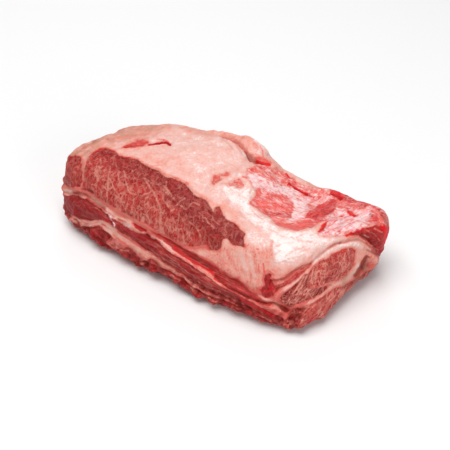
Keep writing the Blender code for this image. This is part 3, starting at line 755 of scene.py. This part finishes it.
# Painted glints: small strokes of silver-skin white stand for highlights on the wet top.
for glint in GLINTS:
    brush(skin_and_sheen, glint, 3.0, 0.62, 0.6)
for spot in DEEP_SPOTS:
    line(blood, spot, 2.6, 0.56)
for spot in FAINT_SPOTS:
    line(blood, spot, 2.6, 0.36)
line(blood, LINE_BEHIND_SKIN, 3.2, 0.8)
for streak in BACK_STREAKS:
    line(blood, streak, 2.2, 0.34)
# The clefts are darkened with painted shade, and their silver skin is taken off.
for cleft in CLEFTS:
    brush(skin_and_sheen, cleft, 3.4, 0.0, 0.9)
    brush(dark, cleft, 3.2, 0.95, 0.9)
for stroke in CLEFT_BLOOD:
    line(blood, *stroke)
for streak in NEAR_STREAKS:
    line(blood, streak, 2.0, 0.4)

# The fat cap: firm pink-white fat over the whole crown, browner towards the far end, with knife
# slits, a wrinkled flap along its back edge and a few bloody streaks.
FAR_CAP = (
    (50, 160), (70, 140), (100, 124), (140, 116), (176, 118), (164, 130), (142, 139), (118, 145),
    (102, 147), (90, 153), (83, 166), (66, 158))
CAP_STREAK = (
    (123, 147), (130, 143.4), (137, 140.6), (145, 139.4), (149, 140.6), (146, 143.8), (140, 146.4),
    (132, 147.4))
BROWNED_AREAS = (
    (FAR_CAP, 0.8, 10.0),
    (((56, 162), (70, 142), (92, 128), (112, 130), (100, 144), (90, 151), (82, 160)), 1.25, 5.0),
    (((96, 128), (130, 112), (180, 112), (214, 121), (208, 128), (176, 124), (142, 126), (112, 136)), 0.95,
     4.0),
    (((178, 120), (200, 122), (226, 128), (234, 134), (214, 137), (190, 134)), 0.3, 4.0))
CAP_PALENESS = (
    (FAR_CAP, 0.32, 10.0),
    (((112, 146), (150, 143), (176, 152), (190, 176), (160, 168), (130, 156)), 0.5, 6.0),
    (((180, 116), (222, 124), (250, 134), (262, 144), (250, 150), (228, 138), (206, 136), (182, 132)), 0.4,
     5.0),
    (((252, 156), (268, 158), (290, 170), (300, 178), (288, 174), (272, 167), (256, 166)), 0.42, 3.0))
FAR_NICKS = (
    ((83, 147.4), (86, 147)), ((106.4, 138.4), (108, 139)), ((93, 143), (96, 141)),
    ((119, 131), (124, 129)))
CAP_BLOOD = (
    (((112, 150.5), (120, 148), (129, 145.5)), 2.0, 0.42), (((140, 144.6), (148.5, 141.6)), 2.2, 0.35),
    (((108, 142), (115, 139.2), (123, 137.4), (130, 136), (143, 134.6), (157.4, 133.8)), 2.8, 0.28),
    (((148.6, 143.6), (159, 142.6), (169.6, 144)), 1.6, 0.9),
    (((157.5, 139), (162, 140), (168, 142.4)), 2.4, 0.55), (((150.7, 165.4), (161.5, 165.6)), 1.6, 0.42),
    (((195, 149), (205, 153)), 1.3, 0.25))
FLAP_PALENESS = (
    (((257, 157.4), (262, 158.4), (267, 161), (270, 163)), 4.0, 0.24),
    (((250.4, 154), (254.6, 154.8), (259, 156.6)), 3.2, 0.1),
    (((222, 128), (240, 131), (254, 138), (264, 146)), 5.5, 0.76),
    (((249.4, 153.6), (253, 154.4), (257, 156)), 3.4, 0.36),
    (((257, 141), (263, 146), (268, 154)), 6.5, 0.72),
    (((222.9, 135.6), (231, 138.6), (240.3, 145.6), (246, 151.4)), 3.2, 0.22))
RED_POCKET = (
    (255, 157.6), (260, 157), (265.6, 159), (270, 162), (271.4, 165.6), (266, 165.8), (260, 163.8),
    (255.6, 161))
FLAP_BLOOD = (
    (((258, 161.2), (263, 163.6), (270, 165)), 2.8, 1.0), (((251, 155), (255, 156)), 2.0, 0.22),
    (((252, 145.4), (257, 149), (256, 152)), 1.6, 0.3),
    (((260, 147), (261.6, 151.6), (263, 157)), 1.9, 0.5), (((255, 143), (258, 145)), 1.8, 0.35),
    (((287.6, 171.4), (291, 174.6), (296.6, 179.6)), 2.2, 1.0),
    (((253, 143.6), (256.4, 146), (258, 149.6)), 2.4, 0.3))
for area in BROWNED_AREAS:
    patch(tan, *area)
for area in CAP_PALENESS:
    patch(white, *area)
# The nicks in the far cap are darkened with painted shade.
for spot in FAR_NICKS:
    line(crease_shade, spot, 2.4, 0.34)
muscle(CAP_STREAK, 0.44, 0.3, ALONG_TOP)
for stroke in CAP_BLOOD:
    line(blood, *stroke)
for stroke in FLAP_PALENESS:
    brush(white, *stroke)
patch(blood, RED_POCKET, 0.5, 1.6)
for stroke in FLAP_BLOOD:
    line(blood, *stroke)

# Silver skin: thin, pale and slippery, left on over the long seam.
SCRAPS_OF_SKIN = (
    (((103, 208.5), (106.5, 209.3), (112, 214.4), (117, 219), (113, 218), (109.5, 216.4), (105.6, 213)),
     0.42),
    (((123, 222.6), (127, 223.6), (132.5, 227), (127.5, 227)), 0.62),
    (((160, 242), (166, 245.4), (173, 251.6), (172, 253), (166, 249), (161, 245)), 0.34),
    (((104, 209), (108, 211), (106, 213)), 0.3))
SKIN_THREADS = (
    ((108, 214.6), (111.4, 219.6), (114.7, 227)), ((109.6, 215.5), (111, 219.8)))
for outline, strength in SCRAPS_OF_SKIN:
    patch(skin_and_sheen, outline, strength, 1.4)
for thread in SKIN_THREADS:
    line(skin_and_sheen, thread, 1.4, 0.6)

# The seams and clefts that close between the parts, dark because little light gets into them.
SEAMS = (
    (((56, 190), (66, 192.5), (74, 193.2), (82, 194.5), (90, 198.5), (98, 204), (104, 208.6)), 2.2, 0.45,
     2.5),
    (((82, 190), (88, 191.5), (93, 194.5)), 1.8, 0.6, 1.5),
    (((86, 199.5), (95, 204.5), (103, 211.5), (108, 216.5)), 2.6, 0.55, 2.0),
    (((118, 220.5), (130, 228), (142, 233.6), (153, 238.6)), 2.0, 0.45, 2.0),
    (((153, 238.6), (162, 246), (176, 257), (192, 267)), 1.8, 0.35, 1.5),
    (((158, 234.6), (170, 241.6), (182, 248.6), (196, 256)), 1.7, 0.5, 1.2),
    (((215, 276.5), (225, 284.5), (238, 292.5), (256, 300.5)), 1.9, 0.75, 2.2),
    (((256, 300.5), (264, 302), (272, 303), (280, 306.5), (287, 311)), 2.4, 0.95, 3.0),
    (((84, 227), (90, 228.5), (97, 227)), 2.6, 0.6, 1.5),
    (((100, 231), (106, 235.5), (110, 240)), 2.8, 0.75, 2.5),
    (((138, 258), (150, 266), (165, 271), (180, 279), (196, 291), (215, 299)), 2.6, 0.5, 2.0),
    (((215, 299), (235, 306), (255, 314), (272, 320.5)), 2.2, 0.5, 1.5),
    (((270, 281.4), (282, 279.6), (293.5, 272.5), (305, 265.6), (312, 262), (320, 255), (331, 247),
      (341, 242.4)), 2.2, 0.5, 2.2),
    (((276, 289), (289.4, 283), (301.8, 274), (311, 264.8)), 1.9, 0.45, 1.6),
    (((282, 298), (289.4, 291.3), (297.7, 282.4), (305, 275)), 1.8, 0.4, 1.4),
    (((341, 242.4), (352, 240), (362, 240.5), (370, 246), (375, 254)), 2.2, 0.45, 2.0),
    (((148.6, 143.9), (159, 142.9), (169.6, 144.3)), 1.5, 0.85, 2.5),
    (((222.9, 134.5), (229.5, 137), (235, 140.8), (240.3, 144.6), (246, 150.4), (248.6, 155.5),
      (253.7, 160.2), (257, 162)), 2.6, 0.55, 4.5),
    (((244.6, 149.4), (246.8, 154.8), (251.6, 160)), 2.3, 1.0, 2.4),
    (((253, 158.8), (258, 162.2), (263, 164.8)), 1.5, 0.8, 1.4),
    (((222.9, 138), (229.5, 144), (233.7, 148.2)), 2.0, 0.2, 1.5),
    (((296, 188), (301, 190.6), (306, 193.6), (311, 195.6)), 2.0, 0.85, 3.0),
    (((332, 194.6), (336.5, 197.4), (340.5, 200.4)), 2.0, 0.65, 2.5),
    (((305.5, 217), (315, 218.4), (325, 219.8)), 1.4, 0.3, 1.0),
    (((367, 257.4), (364.4, 262.6), (361, 269), (356, 275.4)), 4.2, 0.95, 2.6),
    (((361, 236), (369, 240.4), (376, 247.4)), 2.4, 0.7, 1.5),
    (((371, 232.6), (376.6, 238), (379.6, 245)), 2.0, 0.55, 1.2),
    (((283, 308.6), (287.6, 310.4)), 3.2, 1.0, 3.0), (((297.6, 309.6), (303, 312)), 2.6, 0.9, 2.5),
    (((301, 309.8), (304.6, 308.6)), 2.4, 0.8, 2.0), (((290, 320), (295, 315.6)), 3.4, 1.0, 3.0),
    (((325, 281), (331, 279)), 2.6, 0.7, 1.2), (((368, 250), (377, 254.5), (383, 257)), 2.4, 0.6, 2.0),
    (((380, 218), (384, 222), (386, 226)), 2.2, 0.5, 1.6), (((217, 182.5), (222, 178.5)), 1.6, 0.4, 0.8),
    (((100, 152.5), (95, 156), (92, 160)), 2.0, 0.35, 1.0))
RIDGES = (
    (((222, 131), (236, 133), (248, 138), (258, 145), (266, 153)), 6.0, 2.0),
    (((249.6, 154), (253, 155), (256, 156.6)), 3.2, 2.4),
    (((258, 158), (263, 159.4), (269, 163)), 3.6, 1.6),
    (((157, 140.8), (163, 141.2), (168, 143)), 2.6, 1.2),
    (((287.6, 171), (291, 174), (296.6, 179.6)), 2.6, 1.4),
    (((369, 256), (374, 258.5), (376, 262)), 4.5, 2.4),
    (((314, 260), (323, 253), (334, 247.6), (345, 244.6), (356, 243)), 4.0, 1.2),
    (((88, 196.5), (100, 204), (112, 212), (126, 221), (140, 229)), 3.6, 1.0),
    (((108, 214.6), (111.4, 219.6), (114.7, 227)), 1.8, 1.2),
    (((272, 242), (273, 252), (274, 262)), 4.0, 0.8),
    (((318, 231), (328, 223), (340, 216), (352, 211)), 4.0, 1.0),
    (((330, 234), (342, 229), (354, 223), (364, 216)), 4.0, 1.0))
SWELLS = (
    (((284, 173), (293, 177.5), (303, 181), (314, 183)), 20.0, -6.6),
    (((340, 196), (352, 198), (366, 202), (377, 209)), 26.0, 5.0),
    (((383, 222), (384, 234), (382, 246)), 24.0, 3.5), (((212, 128), (226, 130), (239, 133)), 14.0, -3.8),
    (((66, 158), (63, 168), (62, 178), (63, 186)), 13.0, 2.2), (((62, 184), (62, 196)), 12.0, -2.0),
    (((94, 239), (102, 244)), 10.0, 3.0), (((182, 290), (196, 298)), 10.0, 5.0),
    (((284, 329), (302, 327)), 9.0, 5.0), (((322, 318), (332, 311)), 9.0, 3.0),
    (((362, 277), (374, 269)), 12.0, 3.5))
for curve, half_width, shade, depth_mm in SEAMS:
    line(crease_shade, curve, half_width, shade)
    fold(curve, 1.7 * half_width, -depth_mm)
for curve, half_width, height in RIDGES:
    fold(curve, half_width, height)
for curve, half_width, height in SWELLS:
    swell(curve, half_width, height)

# The sides that face away: the cap hangs well down over the back, and under it lies lean in silver
# skin. The far end is cut across, so each muscle shows there as an oval in fat. The underside is lean.
LEAN_LIMIT = 6
OVALS = ((-60, 86, 56, 30), (36, 82, 46, 24), (-22, 38, 96, 15), (84, 50, 30, 24), (0, 8, 120, 11))
x_mm, y_mm, z_mm = (points * 1000).T
wander, drift, roam = lumpy(38.0, 1.0), lumpy(14.0, 2.0), lumpy(85.0, 7.0)
cap_edge = 66 + 13 * roam + 6 * wander + 2.5 * drift
lower_seam = 30 + 4 * np.sin(x_mm / 55 + 1) + 4 * wander
back = np.minimum(cap_edge - z_mm, np.abs(z_mm - lower_seam) - 1.0 - 3.0 * wander + 1.5 * drift)
ovals = np.full(len(points), FAR_OFF)
for middle_y, middle_z, wide, high in OVALS:
    off = np.hypot((y_mm - middle_y) / wide, (z_mm - middle_z) / high)
    ovals = np.maximum(ovals, (1 - off) * min(wide, high) + 2.0 * wander + 1.6 * drift)
at_far_end = ramp(0.35, 0.75, -normals[:, 0] + 0.10 * drift)
away = np.clip(back * (1 - at_far_end) + ovals * at_far_end, -LEAN_LIMIT, LEAN_LIMIT)
lean[:] = np.clip(lean, -LEAN_LIMIT, LEAN_LIMIT) * seen + away * (1 - seen)
turned = 1 - ramp(0.3, 0.7, seen)
silvered = ramp(0.0, 0.8, roam + 0.5 * wander) * (1 - at_far_end) * ramp(-2, 4, back) * 0.30
under_seam = ramp(2, -2, z_mm - lower_seam)
for field, value in (
        (dark, 0.62 + 0.18 * roam + 0.12 * under_seam), (marbling, 0.35 + 0.35 * at_far_end),
        (skin_and_sheen, silvered), (white, 0.34 + 0.22 * ramp(60, 110, z_mm) + 0.16 * wander),
        (tan, 0.25 + 0.3 * at_far_end)):
    field[:] += (value - field) * turned
across_far_end = along_grain((0.0, 0.3, -1.0), 13.0, 6.5)
back_grain = along_grain((1.0, 0.0, 0.22), 26.0, 4.2)
hidden = turned > 0.5
grain[hidden] = np.where((at_far_end > 0.5)[:, None], across_far_end, back_grain)[hidden]
# Along the back's lower seam the surface sinks a little and is darkened with painted shade.
back_seam = (1 - ramp(0.3, 1.6, np.abs(z_mm - lower_seam + 2) / 2.0)) * ramp(-0.3, 0.4, wander)
back_seam *= turned * (1 - at_far_end)
crease_shade[:] = np.maximum(crease_shade, 0.65 * back_seam)
relief -= 1.4 * turned * ramp(-3, 3, lean) * ramp(90, 70, z_mm) + 2.0 * back_seam

# Relief: cut lean draws back a little from the fat, fibres and torn ends stand up, and the whole
# surface is slightly uneven.
OVERHANG = 0.003
lean_share = ramp(-1.5, 2.0, lean)
ripple = np.array([noise.noise(Vector(g) * 0.9) for g in grain])
folds_of_end = ramp(0.35, 0.8, normals[:, 0])
ragged = ramp(44, 20, z_mm) * ramp(0.0, 6.0, z_mm) * (1 - 0.65 * folds_of_end)
crag = np.array([noise.ridged_multi_fractal(Vector(p) * 95, 1.0, 2.2, 4, 1.0, 2.0) for p in points]) - 1.3
relief -= 1.2 * lean_share * ramp(0.2, 0.0, skin_and_sheen)
relief += ripple * lean_share * (0.4 + 0.6 * dark + 0.3 * folds_of_end)
relief += 0.5 * lumpy(11.0, 3.0) + 0.35 * lumpy(5.0, 4.0) + 2.2 * crag * ragged
# Painted shade darkens the hollows between the torn crags low on the roll.
crease_shade[:] = np.maximum(crease_shade, 0.95 * ragged * ramp(0.25, -0.75, crag))
moved = points + normals * (relief * ramp(0.5, 4.0, z_mm) / 1000)[:, None]
moved[:, 2] = np.maximum(moved[:, 2], 0.0)
moved = np.clip(moved, np.array(cad_low) - OVERHANG, np.array(cad_high) + OVERHANG)
mesh.vertices.foreach_set("co", moved.astype(np.float32).ravel())
mesh.shade_smooth()

for name, values in (("lean", lean), ("dark", dark), ("marbling", marbling), ("white", white), ("tan", tan),
                     ("blood", blood), ("crease_shade", crease_shade), ("skin_and_sheen", skin_and_sheen), ("strand", strand)):
    mesh.attributes.new(name, "FLOAT", "POINT").data.foreach_set("value", values.astype(np.float32))
grain_values = grain.astype(np.float32).ravel()
mesh.attributes.new("grain", "FLOAT_VECTOR", "POINT").data.foreach_set("vector", grain_values)
roll = bpy.data.objects.new("chuck_roll_flesh", mesh)
bpy.context.scene.collection.objects.link(roll)


# The finish of the flesh: every tissue in one wet skin, mixed by what each point of the roll holds,
# with painted shade in the creases and painted sheen and glints on the silver skin.
class Wire:
    """A value in a material, on which sums are written as in arithmetic."""

    def __init__(self, tree, socket):
        self.tree = tree
        self.socket = socket

    def add(self, kind, settings=(), outlet=0, **inlets):
        """A node of a kind, with its settings made first and then its inlets filled or wired."""
        made = self.tree.nodes.new("ShaderNode" + kind)
        for setting, value in dict(settings).items():
            setattr(made, setting, value)
        for inlet, value in inlets.items():
            target = made.inputs[int(inlet[1:]) if inlet[0] == "_" else inlet.replace("_", " ")]
            if isinstance(value, Wire):
                self.tree.links.new(value.socket, target)
            else:
                target.default_value = value
        return Wire(self.tree, made.outputs[outlet])

    def sum(self, operation, first, second=0.0):
        return self.add("Math", {"operation": operation}, _0=first, _1=second)

    def __add__(self, other):
        return self.sum("ADD", self, other)

    def __radd__(self, other):
        return self.sum("ADD", other, self)

    def __sub__(self, other):
        return self.sum("SUBTRACT", self, other)

    def __rsub__(self, other):
        return self.sum("SUBTRACT", other, self)

    def __mul__(self, other):
        return self.sum("MULTIPLY", self, other)

    def __rmul__(self, other):
        return self.sum("MULTIPLY", other, self)

    def __truediv__(self, other):
        return self.sum("DIVIDE", self, other)

    def step(self, low, high):
        """0 below low, 1 above high, smooth between."""
        return self.add("MapRange", {"interpolation_type": "SMOOTHSTEP"}, _0=self, _1=low, _2=high)

    def capped(self):
        return self.sum("MINIMUM", self, 1.0)

    def mix(self, below, above, blend="MIX"):
        """From one colour to another as this value goes from 0 to 1."""
        return self.add("Mix", {"data_type": "RGBA", "blend_type": blend}, 2, _0=self, _6=below, _7=above)


flesh = bpy.data.materials.new("raw_beef")
flesh.use_nodes = True
shader = flesh.node_tree.nodes["Principled BSDF"]
start = Wire(flesh.node_tree, None)


def stored(name, outlet=2):
    return start.add("Attribute", {"attribute_name": name}, outlet)


def cloud(place, scale, detail=2.0, rough=0.5):
    """Noise from 0 to 1."""
    return start.add("TexNoise", {}, 0, Vector=place, Scale=scale, Detail=detail, Roughness=rough)


place = start.add("TexCoord", {}, 3)
fibres = stored("grain", 1)
depth_in, tone, fatty, pale = stored("lean"), stored("dark"), stored("marbling"), stored("white")
brown, bloody, shade_in_creases, skin_and_sheen_amount = stored("tan"), stored("blood"), stored("crease_shade"), stored("skin_and_sheen")
stranded = stored("strand")

bend = start.add("TexNoise", {}, 1, Vector=fibres, Scale=1.3, Detail=3.0)
bent = start.add("VectorMath", {"operation": "MULTIPLY_ADD"}, _0=bend, _1=(1.1, 1.1, 1.1), _2=fibres)


def net(scale, thin, thick, seed):
    """A pale net between fibre bundles, broken where the noise runs low."""
    shifted = start.add("VectorMath", {"operation": "ADD"}, _0=bent, _1=(seed, seed, seed))
    edge = start.add("TexVoronoi", {"feature": "DISTANCE_TO_EDGE"}, 0, Vector=shifted, Scale=scale)
    width = cloud(shifted, 1.1, 1.0).step(0.36, 0.72) * (thick - thin) + thin
    return 1 - (edge / width).step(0.1, 1.0)


mottle = cloud(bent, 2.4, 4.0, 0.65)
drifts = cloud(place, 62.0, 2.0, 0.5)
veins = net(0.85, 0.02, 0.27, 0.0)
fine = net(1.7, 0.0, 0.18, 7.0) * 0.44
thread = cloud(bent, 1.3, 2.0, 0.5) - 0.5
thread = (1 - (thread.sum("ABSOLUTE", thread) / 0.05).step(0.1, 1.0)) * 0.62
fleck = cloud(fibres, 3.6, 3.0, 0.7).step(0.54, 0.68) * 0.36
smear = cloud(bent, 0.55, 3.0, 0.6).step(0.44, 0.80) * 0.30
gather = 0.55 + 0.65 * cloud(bent, 0.7, 2.0, 0.5).step(0.36, 0.64)
net_fat = veins.sum("MAXIMUM", veins, fine)
net_fat = net_fat.sum("MAXIMUM", net_fat, thread)
marble = ((net_fat.sum("MAXIMUM", net_fat, fleck) * gather + smear) * fatty
          + (stranded * (2.6 * cloud(place, 230.0, 3.0, 0.65) - 0.35)).step(0.10, 0.80) * 0.80).capped()

DEEP_LEAN = (0.270, 0.008, 0.012, 1)
MID_LEAN = (0.560, 0.034, 0.032, 1)
PINK_LEAN = (0.880, 0.130, 0.112, 1)
MARBLE_FAT = (0.760, 0.290, 0.225, 1)
FLUSHED_FAT = (0.740, 0.150, 0.125, 1)
SALMON_FAT = (0.830, 0.350, 0.275, 1)
PINK_FAT = (0.840, 0.500, 0.445, 1)
WHITE_FAT = (0.965, 0.845, 0.815, 1)
TAN_FAT = (0.560, 0.260, 0.180, 1)
BROWNED = (0.740, 0.580, 0.570, 1)
BLOOD_RED = (0.800, 0.012, 0.018, 1)
SKIN_AND_SHEEN_WHITE = (0.950, 0.730, 0.730, 1)
DEEP_SHADE = (0.400, 0.100, 0.080, 1)

shade = tone + (mottle - 0.5) * 1.8 + (drifts - 0.5) * 0.9
lean_colour = shade.step(0.42, 1.05).mix(shade.step(-0.15, 0.55).mix(PINK_LEAN, MID_LEAN), DEEP_LEAN)
lean_colour = marble.mix(lean_colour, MARBLE_FAT)
lean_colour = (brown * 0.80).mix(lean_colour, BROWNED, "MULTIPLY")

blotch = cloud(place, 75.0, 5.0, 0.65)
wisps = cloud(fibres, 1.3, 4.0, 0.65)
hairs = cloud(fibres, 3.4, 3.0, 0.6)
ruddy = cloud(place, 150.0, 3.0, 0.6).step(0.60, 0.74) * 0.22
grit = cloud(place, 420.0, 3.0, 0.6)
paleness = pale + (grit - 0.5) * 0.42 + (blotch - 0.5) * 0.66 + (wisps - 0.5) * 0.70 + (hairs - 0.5) * 0.55
paleness = paleness - ruddy - depth_in.step(-4.5, -0.5) * 0.26
fat_colour = paleness.step(0.0, 0.36).mix(FLUSHED_FAT, SALMON_FAT)
fat_colour = paleness.step(0.28, 0.66).mix(fat_colour, PINK_FAT)
fat_colour = paleness.step(0.62, 1.0).mix(fat_colour, WHITE_FAT)
fat_colour = (brown * cloud(place, 70.0, 3.0, 0.6).step(0.3, 0.7)).mix(fat_colour, TAN_FAT)

wobble = (cloud(place, 190.0, 3.0, 0.65) - 0.5) * 4.0
is_lean = (depth_in + wobble).step(-0.9, 0.9)
colour = is_lean.mix(fat_colour, lean_colour)
stain = (bloody * (0.55 + 0.9 * cloud(place, 300.0, 2.0))).step(0.12, 0.85)
colour = (stain * 0.95).mix(colour, BLOOD_RED)
streaks = (cloud(bent, 1.7, 4.0, 0.62) - 0.5) * 2.0 + (cloud(place, 140.0, 4.0, 0.7) - 0.5) * 1.7
skin_and_sheen_cover = skin_and_sheen_amount + streaks * skin_and_sheen_amount.step(0.02, 0.35)
# Painted glints: small white specks on the silver skin stand for highlights. The skin field's painted sheen
# shows in the same white.
glints = cloud(place, 430.0, 2.0, 0.5).step(0.62, 0.70) * skin_and_sheen_amount.step(0.10, 0.35) * 0.55
skin_and_sheen_cover = skin_and_sheen_cover.step(0.12, 1.0) * 0.95
colour = skin_and_sheen_cover.sum("MAXIMUM", skin_and_sheen_cover, glints).mix(colour, SKIN_AND_SHEEN_WHITE)
# Painted shade: seams, clefts, nicks and crags are darkened by multiplying in a deep shade.
colour = (shade_in_creases * 0.9).mix(colour, DEEP_SHADE, "MULTIPLY")
flesh.node_tree.links.new(colour.socket, shader.inputs["Base Color"])

wet = 0.36 + 0.24 * cloud(place, 120.0, 2.0) - 0.12 * skin_and_sheen_amount
flesh.node_tree.links.new(wet.socket, shader.inputs["Roughness"])
slick = 0.01 + 0.45 * skin_and_sheen_amount + 0.22 * pale.step(0.5, 1.0)
flesh.node_tree.links.new(slick.socket, shader.inputs["Coat Weight"])
height = marble * 0.4 + mottle * 0.6 + wisps * 0.5 + cloud(place, 700.0, 3.0, 0.6) * 0.35
bump = start.add("Bump", {}, 0, Strength=0.55, Distance=0.0009, Height=height)
flesh.node_tree.links.new(bump.socket, shader.inputs["Normal"])
shader.inputs["Specular IOR Level"].default_value = 0.10
shader.inputs["Subsurface Weight"].default_value = 0.10
shader.inputs["Subsurface Radius"].default_value = (0.004, 0.0014, 0.0010)
shader.inputs["Subsurface Scale"].default_value = 1.0
shader.inputs["Coat Roughness"].default_value = 0.14
mesh.materials.clear()
mesh.materials.append(flesh)
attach(roll, "root")
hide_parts("chuck_roll")

# The setting: a pale floor, and soft light from a large panel overhead with a dimmer one in front.
FLOOR_SIZE = 12.0
floor_mesh = bmesh.new()
bmesh.ops.create_grid(floor_mesh, x_segments=1, y_segments=1, size=FLOOR_SIZE / 2)
floor_data = bpy.data.meshes.new("floor")
floor_mesh.to_mesh(floor_data)
floor_mesh.free()
floor = bpy.data.objects.new("floor", floor_data)
floor.location.z = -0.0002
bpy.context.scene.collection.objects.link(floor)
paint = bpy.data.materials.new("pale_floor")
paint.use_nodes = True
paint.node_tree.nodes["Principled BSDF"].inputs["Base Color"].default_value = (0.93, 0.93, 0.93, 1)
paint.node_tree.nodes["Principled BSDF"].inputs["Roughness"].default_value = 0.8
floor_data.materials.append(paint)
floor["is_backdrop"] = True


def panel(name, place, size, power):
    """A square light panel that faces the roll."""
    light = bpy.data.lights.new(name, "AREA")
    light.size = size
    light.energy = power
    lamp = bpy.data.objects.new(name, light)
    lamp.location = place
    lamp.rotation_euler = (Vector(place) - AIM).to_track_quat("Z", "Y").to_euler()
    bpy.context.scene.collection.objects.link(lamp)


panel("overhead", (-0.30, -0.40, 3.2), 2.6, 96.0)
panel("behind", (-1.3, 1.7, 1.9), 0.9, 7.0)
panel("front", (1.85, -0.60, 0.9), 1.1, 10.5)
world = bpy.data.worlds.new("studio")
world.use_nodes = True
world.node_tree.nodes["Background"].inputs["Color"].default_value = (1.0, 1.0, 1.0, 1)
world.node_tree.nodes["Background"].inputs["Strength"].default_value = 0.22
bpy.context.scene.world = world

low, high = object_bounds()
